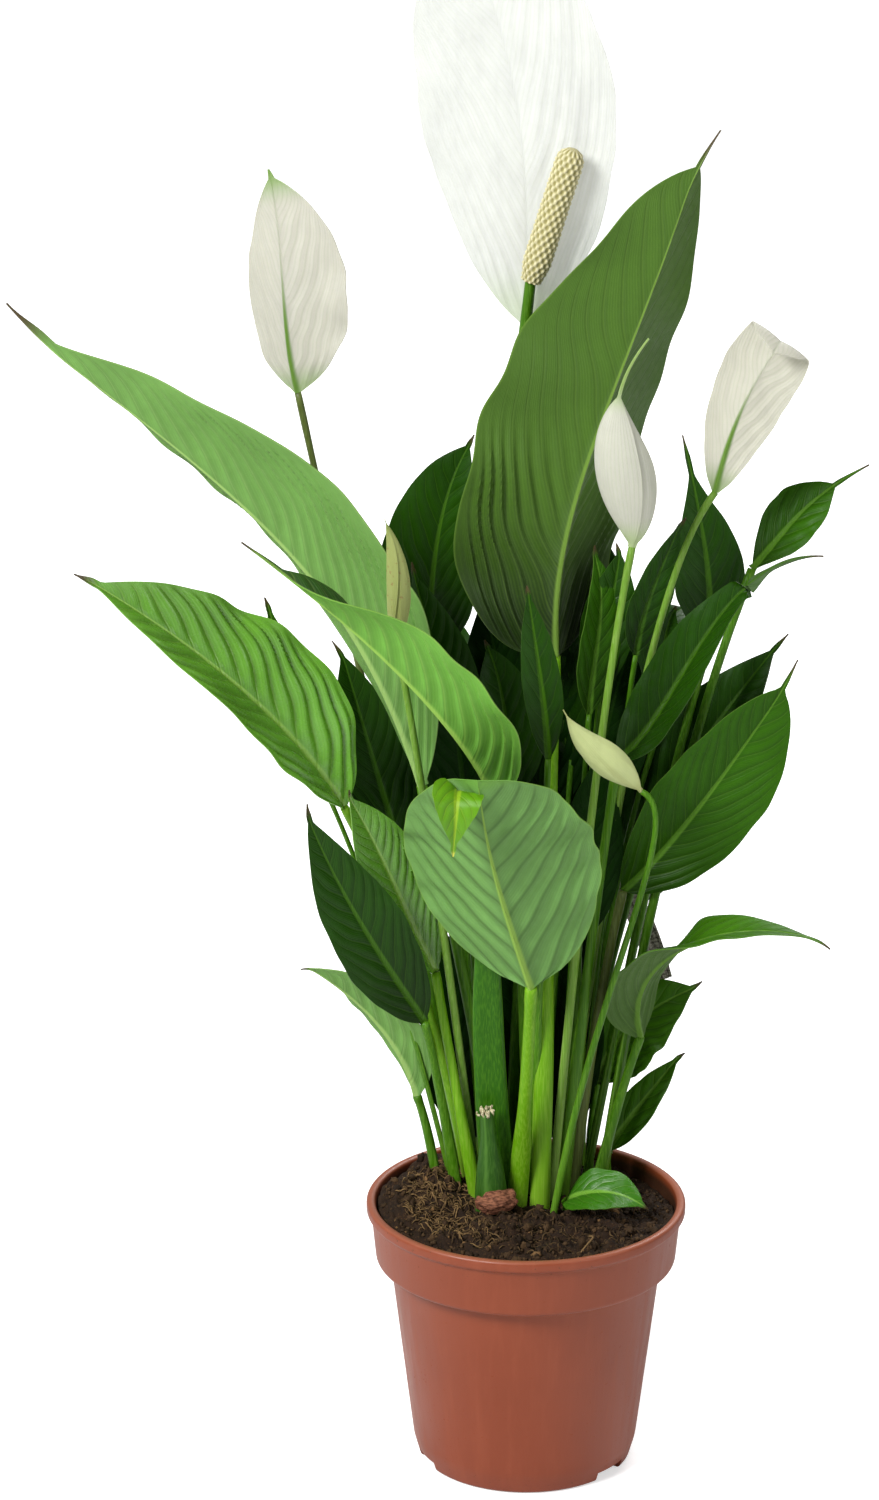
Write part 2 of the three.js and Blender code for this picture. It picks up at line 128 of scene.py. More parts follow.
def leaf(name, root, knee, rib, face, half, fold, look, **more):
    """A leaf: where its stalk leaves the crown, the knee that the stalk bends towards, four points of the
    midrib from neck to tip, the way that the upper side faces, the half width, the fold and the look."""
    plan = SimpleNamespace(
        name=name, root=root, knee=knee, rib=rib, face=face, half=half, fold=math.radians(fold), look=look,
        rise=0.75, taper=1.0, stalk=2.2, tip_face=None, twist=(0.0, 1.0), hook=None, whole=False, open=None,
        vein_step=VEIN_STEP, relief=0.8, wave=0.06, waves=2.2, arch=0.1, sheath=1.35, sheath_top=0.4,
        fold_over=None, thickness=BLADE_THICKNESS, lean=1.35, calm_end=0.72, swerve=0.16, keel=1.0, tail=TAIL,
        tail_width=TAIL_WIDTH, curl=3.0, shares=(1.0, 1.0), stalk_look="mid",
    )
    plan.__dict__.update(more)
    return plan


LEAVES = (
    leaf("upper_left", (-6, 17), (-21, 9, 180), (
        (-39, 2, 266), (-70, 6, 332), (-117, 2, 385), (-185, -10, 444)
    ),
         (0.53, 0.7, 0.46), 32, 30, "pale", stalk=2.6, relief=1.4, vein_step=11, lean=2.0,
         taper=0.85, tail=0.05, tail_width=2.6, curl=(0, 0, 5), waves=3, wave=0.055),
    leaf("left", (-20, 17), (-34, 10, 190), (
        (-67, -14, 263), (-91, -22, 298), (-123, -34, 331), (-160, -48, 361)
    ),
         (0.5, -0.6, 0.56), 28, 25, "bright", relief=1.7, shares=(0.75, 1.0), wave=0.12, vein_step=11,
         tail=0.05, tail_width=1.6, keel=1.3, stalk_look="bright"),
    leaf("front_left", (-9, 7), (-19, -3, 195), (
        (-12, -20, 268), (-32, -36, 305), (-66, -50, 344), (-102, -62, 375)
    ),
         (0.5, 0.5, 0.65), 22.5, 35, "fresh", taper=1.1, relief=1.5, vein_step=10,
         tip_face=(0.54, -0.5, 0.68), twist=(0.55, 0.95), tail=0.12, stalk=3.6,
         sheath=1.75, sheath_top=0.7, open=(0, -1, 0), stalk_look="deep"),
    leaf("centre", (5, 1), (8, 3, 215), ((10, 30, 307), (17, 36, 365), (39, 42, 427), (64, 50, 500)),
         (-0.46, 0.87, 0.14), 39.5, 29, "olive", rise=0.45, taper=0.66, stalk=2.8, relief=2.1, wave=0.12,
         shares=(1.0, 1.08), lean=1.9, vein_step=16, calm_end=0.3, swerve=0.22, tail=0.06, curl=(5, 0, -1),
         keel=1.3, stalk_look="bright"),
    leaf("behind_left", (-10, 30), (-26, 34, 200), (
        (-36, 46, 300), (-35, 48, 331), (-30, 50, 361), (-19, 52, 385)
    ),
         (-0.3, -0.9, 0.3), 20, 15, "dark"),
    leaf("front", (-4, 4), (0, -9, 150), (
        (1, -24, 197), (-9, -38, 233), (-15, -49, 260), (-19, -60, 288.5)
    ),
         (
             0.14, 0.9, 0.3
         ), 39, 27, "grey", rise=0.42, taper=0.5, stalk=2.8, relief=1.5, vein_step=11.5, lean=0.9,
         shares=(1.0, 1.04), wave=0.05, swerve=0.1, tail=0.01, curl=0.0, stalk_look="bright"),
    leaf("inner_left", (-17, 4), (-27, 2, 149), (
        (-34, 2, 193), (-46, -4, 222), (-57, -10, 249), (-67, -18, 270)
    ),
         (0.3, -0.8, 0.5), 14, 15, "bright", relief=1.0, vein_step=6, stalk_look="bright"),
    leaf("lower_left_dark", (-25, 9), (-30, 5, 136),
         ((-38, -8, 177), (-54, -16, 206), (-69, -22, 236), (-82, -28, 269)),
         (0.2, -0.9, 0.4), 15, 12, "dark"),
    leaf("lower_left_pale", (-32, 17), (-36, 16, 124),
         ((-41, 14, 139), (-52, 12, 164), (-68, 8, 183), (-83, 4, 195)),
         (0.5, 0.6, 0.6), 17, 20, "pale"),
    leaf("upright_right", (21, 27), (46, 34, 231), (
        (68, 50, 307), (67, 52, 334), (63, 54, 358), (58, 56, 384)
    ),
         (0.2, -0.9, 0.3), 14, 10, "dark", taper=1.5, tail=0.12),
    leaf("upper_right", (27, 20), (46, 24, 240), (
        (83, 45, 336), (95, 47, 350), (107, 49, 362), (126, 50, 374)
    ),
         (-0.3, -0.7, 0.6), 11.5, 10, "middle", rise=1.0, taper=0.8, tail=0.2, curl=2),
    leaf("long_right", (13, 12), (22, 12, 194), (
        (33, 14, 272), (53, 16, 298), (75, 16, 333), (107, 14, 350)
    ),
         (-0.5, -0.7, 0.5), 13, 25, "dark", taper=1.3, tail=0.14, tip_face=(0.2, 0.5, -0.7),
         twist=(0.62, 0.8)),
    leaf("right", (17, 18), (24, 18, 164), ((36, 24, 217), (58, 22, 243), (79, 20, 274), (100, 16, 308)),
         (0.3, -0.9, 0.2), 21, 14, "middle", taper=0.7, tail=0.1, relief=0.7, stalk_look="olive"),
    leaf("behind_right", (14, 33), (25, 34, 163), (
        (43, 44, 222), (61, 46, 259), (79, 48, 286), (97, 50, 310)
    ),
         (-0.3, -0.8, 0.5), 17, 12, "dark", taper=1.1, tail=0.08),
    leaf("lower_right", (23, 10), (34, 18, 134), (
        (43, 18, 161), (50, 12, 193), (80, 4, 208), (112, -4, 205)
    ),
         (-0.5, 0.5, 0.7), 19, 12, "plain", taper=1.5, tip_face=(0, -0.06, 1), twist=(0.3, 0.55)),
    leaf("lower_right_dark", (24, 33), (25, 38, 120), (
        (28, 40, 133), (35, 42, 149), (49, 44, 162), (68, 46, 171)
    ),
         (-0.4, -0.8, 0.5), 18, 12, "plain", whole=True, wave=0.14),
    leaf("low_right_small", (33, 34), (30, 33, 104), (
        (32, 34, 108), (40, 36, 120), (50, 38, 133), (60, 40, 146)
    ),
         (-0.4, -0.8, 0.5), 7.5, 12, "plain", whole=True),
    leaf("soil_level", (16, 2), (16, 1, 100), (
        (15, 0, 102), (22, -6, 107.5), (33, -11, 109.5), (45, -16, 105)
    ),
         (0, -0.5, 0.85), 10, 10, "lively", whole=True, relief=0.4, vein_step=6, taper=0.8),
    leaf("inner_centre", (4, 20), (-2, 30, 192), (
        (-6, 38, 249), (-7, 40, 270), (-10, 42, 291), (-16, 44, 309)
    ),
         (0.2, -0.9, 0.4), 14, 15, "dark", whole=True),
    leaf("inner_far_left", (-24, 27), (-32, 24, 174),
         ((-47, 24, 233), (-55, 26, 260), (-62, 28, 285), (-70, 30, 313)),
         (0.2, -0.9, 0.4), 15, 15, "dark", whole=True),
    leaf("inner_upper_left", (-14, 21), (-21, 26, 189),
         ((-30, 30, 255), (-30, 32, 285), (-36, 34, 314), (-43, 36, 341)),
         (0.2, -0.9, 0.3), 14, 15, "dark", whole=True),
    leaf("inner_right", (21, 43), (22, 54, 158), (
        (33, 54, 200), (45, 56, 222), (55, 58, 245), (61, 60, 272)
    ),
         (-0.2, -0.9, 0.4), 18, 12, "dark", whole=True),
    leaf("back_left", (-16, 38), (-20, 62, 180), (
        (-26, 84, 235), (-34, 108, 268), (-42, 130, 286), (-54, 150, 290)
    ),
         (0, -0.6, 0.8), 20, 14, "dark", whole=True),
    leaf("back_centre", (1, 46), (2, 70, 185), (
        (4, 92, 250), (8, 118, 292), (12, 142, 316), (20, 166, 322)
    ),
         (0, -0.6, 0.8), 22, 14, "dark", whole=True),
    leaf("back_right", (11, 38), (20, 66, 170), (
        (30, 80, 225), (42, 104, 262), (52, 126, 285), (66, 146, 292)
    ),
         (0, -0.6, 0.8), 20, 14, "dark", whole=True),
)

# Small young leaves deep in the plant, which the model's solids leave out. The near-black deep ones are
# painted shade: sheets put into the dark gaps between the leaves.
YOUNG_LEAVES = (
    leaf("young_right", (12, 30), (21, 40, 208), (
        (30, 58, 273), (31, 60, 296), (31, 62, 323), (29, 64, 344)
    ),
         (0.2, -0.9, 0.3), 9, 12, "dark", stalk=1.4),
    leaf("young_curled", (17, 26), (28, 30, 211), (
        (48, 40, 271), (50, 42, 290), (51, 40, 310), (56, 36, 325)
    ),
         (0.2, -0.9, 0.4), 9, 18, "dark", stalk=1.4),
    leaf("young_centre", (6, 30), (13, 40, 208), (
        (17, 50, 260), (15, 52, 287), (17, 54, 314), (22, 56, 336)
    ),
         (-0.2, -0.9, 0.4), 10, 14, "dark", stalk=1.4),
    leaf("young_left", (-26, 18), (-50, 2, 210), (
        (-76, -2, 270), (-84, -2, 292), (-90, -2, 315), (-95, -2, 339)
    ),
         (0.3, -0.8, 0.3), 8, 15, "middle", stalk=1.2),
    leaf("young_front", (2, 12), (5, -6, 205), ((7, -4, 278), (5, -2, 300), (2, 0, 322), (-1, 2, 342)),
         (0.2, -0.9, 0.2), 7.5, 14, "dark", stalk=1.4),
    leaf("young_edge", (12, 24), (18, 28, 210), (
        (23, 34, 283), (25, 36, 304), (27, 38, 326), (23, 40, 346)
    ),
         (0.5, -0.8, 0.2), 9, 14, "middle", stalk=1.4),
    leaf("young_arching", (19, 26), (30, 28, 240), (
        (40, 34, 306), (43, 34, 322), (49, 33, 340), (57, 32, 360)
    ),
         (0.4, -0.8, 0.3), 8.5, 14, "dark", stalk=1.3),
    leaf("young_tall", (10, 30), (22, 36, 240), (
        (27, 40, 288), (29, 40, 312), (32, 40, 330), (34, 40, 347)
    ),
         (0.1, -0.9, 0.3), 10.5, 12, "dark", stalk=1.3),
    leaf("deep_middle", (14, 16), (20, 20, 180), (
        (19, 24, 196), (22, 26, 222), (25, 28, 248), (28, 30, 274)
    ),
         (0.1, -0.9, 0.2), 13, 14, "deep"),
    leaf("deep_low_front", (-12, 14), (-20, 16, 200), (
        (-22, 18, 240), (-24, 20, 262), (-27, 22, 284), (-32, 24, 306)
    ),
         (0.1, -0.9, 0.2), 15, 14, "deep"),
    leaf("deep_left", (-6, 34), (-2, 42, 190), (
        (0, 46, 250), (-7, 48, 280), (-12, 50, 303), (-18, 52, 326)
    ),
         (0.1, -0.9, 0.3), 17, 14, "deep"),
    leaf("deep_centre", (4, 36), (4, 46, 180), ((5, 50, 235), (7, 52, 268), (8, 54, 298), (10, 56, 324)),
         (0, -0.9, 0.3), 19, 10, "deep"),
    leaf("deep_right", (16, 36), (20, 44, 180), (
        (22, 50, 232), (28, 52, 262), (34, 54, 286), (40, 56, 308)
    ),
         (-0.2, -0.9, 0.3), 18, 12, "deep"),
    leaf("deep_low_left", (-20, 34), (-21, 34, 106), (
        (-21, 34, 112), (-24, 36, 140), (-29, 38, 172), (-34, 40, 205)
    ),
         (0.1, -0.9, 0.2), 15, 16, "deep"),
    leaf("deep_low_middle", (-2, 40), (-2, 40, 104), (
        (-2, 40, 108), (-3, 42, 142), (-5, 44, 178), (-8, 46, 214)
    ),
         (0, -0.9, 0.2), 17, 14, "deep"),
    leaf("deep_low_right", (12, 40), (13, 40, 104), (
        (14, 40, 108), (15, 42, 142), (17, 44, 178), (20, 46, 214)
    ),
         (0, -0.9, 0.2), 15, 14, "deep"),
)

# The tip of the front leaf, which is bent forwards and hangs down over the blade.
FRONT_TIP = leaf(
    "front_tip", (0, 0), (0, 0, 0), (
        (-26, -53.8, 283), (-26.5, -61, 280.2), (-27, -62.5, 271.9), (-28, -60, 260.4)
    ),
    (
        0.1, -0.95, 0.3
    ), 9.5, 16, "tip", rise=0.3, taper=1.1, relief=0.5, vein_step=7, tail=0.08, curl=0.5, stalk=1.6,
)

FLOWER_STALK = 1.7
FLORETS_ROUND = 12
FLORET_PITCH = 0.38


def flower(name, root, knee, rib, half, **more):
    """A flower: its stalk as for a leaf, and its spathe, open like a blade or rolled into a spindle."""
    settings = dict(
        rise=0.55, taper=0.85, stalk=FLOWER_STALK, relief=0.3, vein_step=14, wave=0.05, waves=1.4, arch=0.16,
        thickness=0.5, lean=2.2, keel=0.6, depth=None, spadix=None, turns=1.2, start=0.0, sheath=1.0,
        stalk_look="flower", tail=0.03, curl=1.0,
    )
    settings.update(more)
    face = settings.pop("face", (0, -1, 0))
    fold = settings.pop("fold", 0)
    look = settings.pop("look", "spathe")
    return leaf(name, root, knee, rib, face, half, fold, look, **settings)


FLOWERS = (
    flower("top", (2, 32), (-3, 56, 230), (
        (-1, 64, 424), (-1, 66, 476), (-9, 68, 528), (-30, 70, 578)
    ), 36.5,
           face=(-0.25, -1, 0.15), fold=2, rise=0.75, taper=0.6, relief=0.5, arch=0.06, look="clear",
           spadix=((1, 57, 442), (16, 52, 492), 5.4)),
    flower("left", (-16, 29), (-66, 52, 310), (
        (-84, 38, 405), (-88, 38, 430), (-90, 40, 457), (-94, 44, 486)
    ), 22,
           face=(0.45, 0.9, 0.1), fold=14, rise=0.7, taper=0.8, relief=0.6, shares=(1.12, 0.8), wave=0.12,
           look="backed", stalk_look="olive", spadix=((-86, 44, 428), (-84, 48, 463), 4), keel=1.1),
    flower("centre", (9, 9), (24, -2, 290), ((37, 4, 356), (35, 4, 381), (31, 4, 405), (42, 4, 433)), 11,
           depth=7, start=3.6, rise=0.8, taper=0.9, tail=0.24),
    flower("right", (14, 25), (38, 30, 330), (
        (68, 28, 370), (74, 27, 393), (83, 26, 414), (97, 24, 437)
    ), 14.5,
           face=(0.35, 0.92, 0.15), fold=12, rise=0.6, taper=0.26, relief=0.5, fold_over=(0.85, 120, 4),
           look="lipped", tail=0.04),
    flower("old_bud", (-17, 13), (-36, -8, 260), (
        (-48, -16, 327), (-47, -18, 343), (-48, -19, 358), (-52, -20, 373)
    ),
           4.5, depth=4, start=3.0, look="withered"),
    flower("nodding_bud", (9, -4), (24, 2, 190), (
        (41, -8, 267), (31, -12, 278), (21, -16, 288), (12, -20, 302)
    ),
           6.5, depth=4.5, start=0.8, rise=1.0, taper=1.25, hook=(60, -8, 257), look="bud", stalk=1.35,
           stalk_look="mid"),
)

STUB_FOOT = (-13, -6)
STUB_TIP = (-15, -6, 140)
STUB_KNEE_HEIGHT = 118
TORN_FIBRES = 30
STUB_RADIUS = 3.4
CHIP_CENTRE = (-11, -10, 106)
CHIP_SIZE = (8, 5, 4.6)


# ---- curves and formulas ----


def unit(vectors):
    return vectors / np.linalg.norm(vectors, axis=-1, keepdims=True)


def smooth(value, low, high):
    share = np.clip((value - low) / (high - low), 0, 1)
    return share * share * (3 - 2 * share)


def cubic(a, b, c, d, t):
    """Points and directions along a cubic Bezier curve."""
    a, b, c, d = (np.array(point, float) for point in (a, b, c, d))
    t = t[:, None]
    s = 1 - t
    places = s**3 * a + 3 * s * s * t * b + 3 * s * t * t * c + t**3 * d
    slopes = s * s * (b - a) + 2 * s * t * (c - b) + t * t * (d - c)
    return places, unit(slopes)


def quadratic(a, b, c, t):
    a, b, c = (np.array(point, float) for point in (a, b, c))
    return cubic(a, a + (b - a) * 2 / 3, c + (b - c) * 2 / 3, c, t)


def through(points, t):
    """The cubic that passes through four points at even steps."""
    a, b, c, d = (np.array(point, float) for point in points)
    return cubic(a, (-5 * a + 18 * b - 9 * c + 2 * d) / 6, (2 * a - 9 * b + 18 * c - 5 * d) / 6, d, t)


def length_of(points):
    places, _ = through(points, np.linspace(0, 1, 60))
    return np.linalg.norm(np.diff(places, axis=0), axis=1).sum()


def outline(t, rise, taper):
    """The half width from neck to tip, with its peak at 1."""
    peak = rise / (rise + taper)
    t = np.clip(t, 0, 1)
    return t**rise * (1 - t) ** taper / (peak**rise * (1 - peak) ** taper)


def soil_height(x, y):
    level = SOIL_LEVEL
    for mound_x, mound_y, height, spread in SOIL_MOUNDS:
        level = level + height * np.exp(-((x - mound_x) ** 2 + (y - mound_y) ** 2) / spread**2)
    return level


def heap_height(x, y):
    """The soil with the loose peat that lies on it."""
    level = soil_height(x, y)
    for heap_x, heap_y, height, spread in LOOSE_HEAPS:
        level = level + height * np.exp(-((x - heap_x) ** 2 + (y - heap_y) ** 2) / spread**2)
    return level


def random_of(name):
    return np.random.default_rng(zlib.crc32(name.encode()))


def ripple(rng, t, cycles, count=3):
    """A smooth random line between about -1 and 1."""
    total = np.zeros_like(t)
    for step in range(1, count + 1):
        total += np.sin(2 * np.pi * (cycles * step * t * rng.uniform(0.7, 1.3) + rng.uniform())) / step
    return total / 1.6


# ---- meshes ----


def add_piece(name, points, faces, material, nodes=(), sharp=None, fields=None):
    """A piece of the plant that rides on the root body, from points in millimetres."""
    mesh = bpy.data.meshes.new(name)
    mesh.from_pydata((np.asarray(points) * MM).tolist(), [], faces)
    work = bmesh.new()
    work.from_mesh(mesh)
    bmesh.ops.recalc_face_normals(work, faces=work.faces)
    work.to_mesh(mesh)
    work.free()
    for field, values in (fields or {}).items():
        kind = "FLOAT" if np.ndim(values) == 1 else "FLOAT_VECTOR"
        key = "value" if kind == "FLOAT" else "vector"
        layer = mesh.attributes.new(field, kind, "POINT")
        layer.data.foreach_set(key, np.asarray(values, np.float32).ravel())
    mesh.shade_smooth()
    if sharp:
        mesh.set_sharp_from_angle(angle=math.radians(sharp))
    mesh.materials.append(material)
    piece = bpy.data.objects.new(name, mesh)
    bpy.context.scene.collection.objects.link(piece)
    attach(piece, "root")
    if nodes:
        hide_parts(*nodes)
    return piece


def loft_faces(rows, count, first=0):
    """Quads that join rows of points into a closed skin, with a face over each end."""
    faces = []
    for row in range(rows - 1):
        low = first + row * count
        for k in range(count):
            after = (k + 1) % count
            faces.append((low + k, low + after, low + count + after, low + count + k))
    faces.append(tuple(range(first, first + count)))
    last = first + (rows - 1) * count
    faces.append(tuple(range(last, last + count)))
    return faces


def join_lofts(parts):
    """One set of points and faces from several arrays of rings."""
    points = []
    faces = []
    for rings in parts:
        rows, count, _ = rings.shape
        faces += loft_faces(rows, count, sum(len(p) for p in points))
        points.append(rings.reshape(-1, 3))
    return np.concatenate(points), faces


def tube_rings(places, directions, radii, sides, reference=(0.31, 0.9, 0.2)):
    along = unit(directions)
    first = unit(np.cross(along, np.array(reference)))
    second = np.cross(along, first)
    angle = np.linspace(0, 2 * np.pi, sides, endpoint=False)[None, :, None]
    spread = first[:, None, :] * np.cos(angle) + second[:, None, :] * np.sin(angle)
    return places[:, None, :] + spread * np.asarray(radii)[:, None, None]


def both_skins(values):
    """The same values for the upper skin and, mirrored, for the under skin."""
    return np.concatenate((values, values[:, ::-1]), axis=1).ravel()


def add_blade(plan, name, material, slot, nodes=()):
    """A leaf blade or an open spathe: two skins with a rim, a keel under the midrib and waves along it."""
    rng = random_of(plan.name)
    length = length_of(plan.rib)
    t = np.linspace(0, 1, max(40, int(length / ROW_STEP)))
    half_columns = max(12, int(plan.half / COLUMN_STEP))
    u = np.linspace(-1, 1, 2 * half_columns + 1)
    places, along = through(plan.rib, t)
    turned = smooth(t, *plan.twist)[:, None]
    face = np.array(plan.face, float) * (1 - turned) + np.array(plan.tip_face or plan.face, float) * turned
    up = unit(face - along * (face * along).sum(1, keepdims=True))
    side = np.cross(along, up)
    neck = plan.stalk * NECK_SHARE
    keel = plan.keel * (neck * (1 - t) ** 1.3 * 0.85) + 0.15
    hook = np.clip((t - 1 + 2 * plan.tail) / (2 * plan.tail), 0, 1)[:, None] ** 2
    aside = up * rng.uniform(-1, 1) + side * rng.uniform(-0.6, 0.6) if np.ndim(plan.curl) == 0 else 1
    places = places + hook * np.array(plan.curl) * aside
    width = plan.half * outline(t / (1 - plan.tail), plan.rise, plan.taper)
    tail = plan.tail_width * (1 - smooth(t, 1 - plan.tail, 1)) + TIP_WIDTH
    base = np.maximum(neck * (1 - smooth(t, 0, 0.05)), tail)
    grid_t, grid_u = np.meshgrid(t, u, indexing="ij")
    edge = np.abs(grid_u)
    left = np.where(grid_u < 0, 1.0, 0.0)
    margin = np.where(left, ripple(rng, grid_t, 3), ripple(rng, grid_t, 3))
    share = np.where(left, plan.shares[0], plan.shares[1])
    half = np.maximum(width, base)[:, None] * (1 + 0.02 * margin) * share
    rolling = np.where(left, ripple(rng, grid_t, plan.waves), ripple(rng, grid_t, plan.waves))
    swerve = plan.swerve * ripple(rng, grid_t, 2.5)
    reach = plan.lean * half * (edge + 0.5 * edge**3)
    phase = (grid_t * length - reach) / plan.vein_step + 0.5 * left + swerve
    bulge = (0.5 - 0.5 * np.cos(2 * np.pi * phase)) ** 0.8 - 0.5
    calm = smooth(edge, 0.02, 0.2) * (1 - smooth(edge, 0.78, 1))
    calm *= (1 - smooth(grid_t, plan.calm_end, plan.calm_end + 0.2)) * np.minimum(1, half / 12)
    fold = plan.fold * (1 - smooth(grid_t, 0.55, 0.82)) if plan.fold_over else plan.fold
    rise = half * np.sin(fold) * (np.sqrt(edge**2 + 0.05**2) - 0.05)
    rise += half * plan.arch * (edge - edge**2.2)
    rise += half * plan.wave * rolling * edge**2
    rise += plan.relief * bulge * calm
    lateral = half * grid_u * np.cos(fold)
    dip = np.exp(-((lateral / (0.9 * keel[:, None])) ** 2))
    middle = places[:, None, :] + side[:, None, :] * lateral[..., None]
    top = middle + up[:, None, :] * (rise + plan.thickness / 2 - 0.35 * keel[:, None] * dip)[..., None]
    under = middle + up[:, None, :] * (rise - plan.thickness / 2 - keel[:, None] * dip)[..., None]
    rings = np.concatenate((top, under[:, ::-1]), axis=1)
    if plan.fold_over:
        rings = folded_over(rings, places, along, side, *plan.fold_over)
    upper = np.concatenate((np.ones_like(grid_t), np.zeros_like(grid_t)), axis=1).ravel()
    blade = np.stack((both_skins(lateral), both_skins(grid_t), upper), axis=1)
    veins = np.stack((both_skins(phase), both_skins(edge), np.zeros_like(upper)), axis=1)
    faces = loft_faces(len(t), rings.shape[1])
    return add_piece(
        name, rings.reshape(-1, 3), faces, material, nodes, sharp=50, fields={
            "blade": blade, "veins": veins
        }
    )


def folded_over(rings, places, along, side, start, degrees, radius):
    """Turns the end of a blade forwards and down about a line across it, round a bend of the radius given."""
    first = int(start * (len(rings) - 1))
    axis = side[first]
    if np.cross(axis, along[first])[1] > 0:
        axis = -axis
    turned = rings.copy()
    spine = places[first].copy()
    angle = 0.0
    for row in range(first + 1, len(rings)):
        step = places[row] - places[row - 1]
        angle = min(angle + np.linalg.norm(step) / radius, math.radians(degrees))
        spine = spine + rotate(step, axis, angle)
        turned[row] = spine + rotate(rings[row] - places[row], axis, angle)
    return turned


def rotate(vectors, axis, angle):
    cosine, sine = math.cos(angle), math.sin(angle)
    dots = (vectors @ axis)[..., None] if np.ndim(vectors) > 1 else vectors @ axis
    return vectors * cosine + np.cross(axis, vectors) * sine + axis * dots * (1 - cosine)


def stalk_line(plan, t):
    x, y = plan.root
    foot = (x, y, soil_height(x, y) - ROOT_DEPTH)
    if plan.hook:
        return cubic(foot, plan.knee, plan.hook, plan.rib[0], t)
    return quadratic(foot, plan.knee, plan.rib[0], t)


def add_stalk(plan, name, material, nodes=()):
    """A stalk with a shallow channel, a sheath round its foot and a slight swelling under the blade."""
    t = np.linspace(0, 1, STALK_ROWS)
    places, along = stalk_line(plan, t)
    toward = plan.open or (-plan.root[0], 30 - plan.root[1], 0.001)
    opening = np.array(toward, float)
    front = unit(opening - along * (along @ opening)[:, None])
    side = np.cross(along, front)
    sheath = 1 - smooth(t, plan.sheath_top * 0.6, plan.sheath_top * 1.25)
    neck = smooth(t, 0.88, 0.95) * (1 - smooth(t, 0.97, 1.0))
    radius = plan.stalk * (1.02 - 0.24 * smooth(t, 0, 0.9) + 0.08 * neck)
    wide = radius * (1 + (plan.sheath - 1) * sheath)
    deep = radius * (1 - 0.12 * sheath)
    channel = radius * (0.16 + 0.5 * sheath * min(1, plan.sheath - 1))
    angle = np.linspace(0, 2 * np.pi, STALK_SIDES, endpoint=False)[None, :]
    groove = channel[:, None] * np.clip(np.cos(angle), 0, 1) ** 3
    outwards = deep[:, None] * np.cos(angle) - groove
    across = wide[:, None] * np.sin(angle)
    rings = places[:, None, :] + front[:, None, :] * outwards[..., None] + side[:, None, :] * across[
        ..., None
    ]
    facing = np.repeat(np.cos(angle), STALK_ROWS, axis=0).ravel()
    height = np.repeat(t, STALK_SIDES)
    fields = {"stalk": np.stack((facing, height, np.repeat(sheath, STALK_SIDES)), axis=1)}
    faces = loft_faces(STALK_ROWS, STALK_SIDES)
    return add_piece(name, rings.reshape(-1, 3), faces, material, nodes, fields=fields)


def out_and_back(values):
    """The values of a sheet's outer face, then the same for its inner face in reverse order."""
    return np.concatenate((values, values[:, ::-1]), axis=1).ravel()


def add_rolled_spathe(plan, name, material, slot, nodes=()):
    """A closed spathe: one thin sheet rolled more than once round, its outer edge a little proud."""
    rows, columns = 84, 72
    rng = random_of(plan.name)
    t = np.linspace(0, 1, rows)
    places, along = through(plan.rib, t)
    back = np.array((0, 1, 0)) - along * along[:, 1:2]
    back = unit(back)
    side = np.cross(back, along)
    size = np.maximum(outline(t / (1 - plan.tail), plan.rise, plan.taper), 0.12 * (1 - t) + 0.035)
    grid_t, turn = np.meshgrid(t, np.linspace(0, 1, columns), indexing="ij")
    angle = plan.start + 2 * np.pi * plan.turns * turn + 0.9 * grid_t
    lip = np.exp(-(((1 - turn) / 0.05) ** 2))
    grow = 0.86 + 0.16 * turn + 0.07 * lip * smooth(grid_t, 0.1, 0.4)
    grow += 0.02 * ripple(rng, turn * 2 + grid_t, 2)
    ridges = 0.012 * np.cos(angle * 9)
    shape = size[:, None] * (grow + ridges)
    def skin(inset):
        across = np.maximum(shape * plan.half - inset, 0.05) * np.cos(angle)
        deep = np.maximum(shape * plan.depth - inset, 0.05) * np.sin(angle)
        return places[:, None, :] + side[:, None, :] * across[..., None] + back[:, None, :] * deep[
            ..., None
        ]
    rings = np.concatenate((skin(0), skin(plan.thickness)[:, ::-1]), axis=1)
    outer = np.concatenate((np.ones_like(turn), np.zeros_like(turn)), axis=1).ravel()
    spread = np.abs(turn * 2 - 1)
    lateral = out_and_back((turn - 0.45) * plan.half * 5)
    blade = np.stack((lateral, out_and_back(grid_t), outer), axis=1)
    veins = np.stack((out_and_back(turn * 18), out_and_back(spread), np.zeros_like(outer)), axis=1)
    faces = loft_faces(rows, rings.shape[1])
    return add_piece(
        name, rings.reshape(-1, 3), faces, material, nodes, sharp=60, fields={
            "blade": blade, "veins": veins
        }
    )


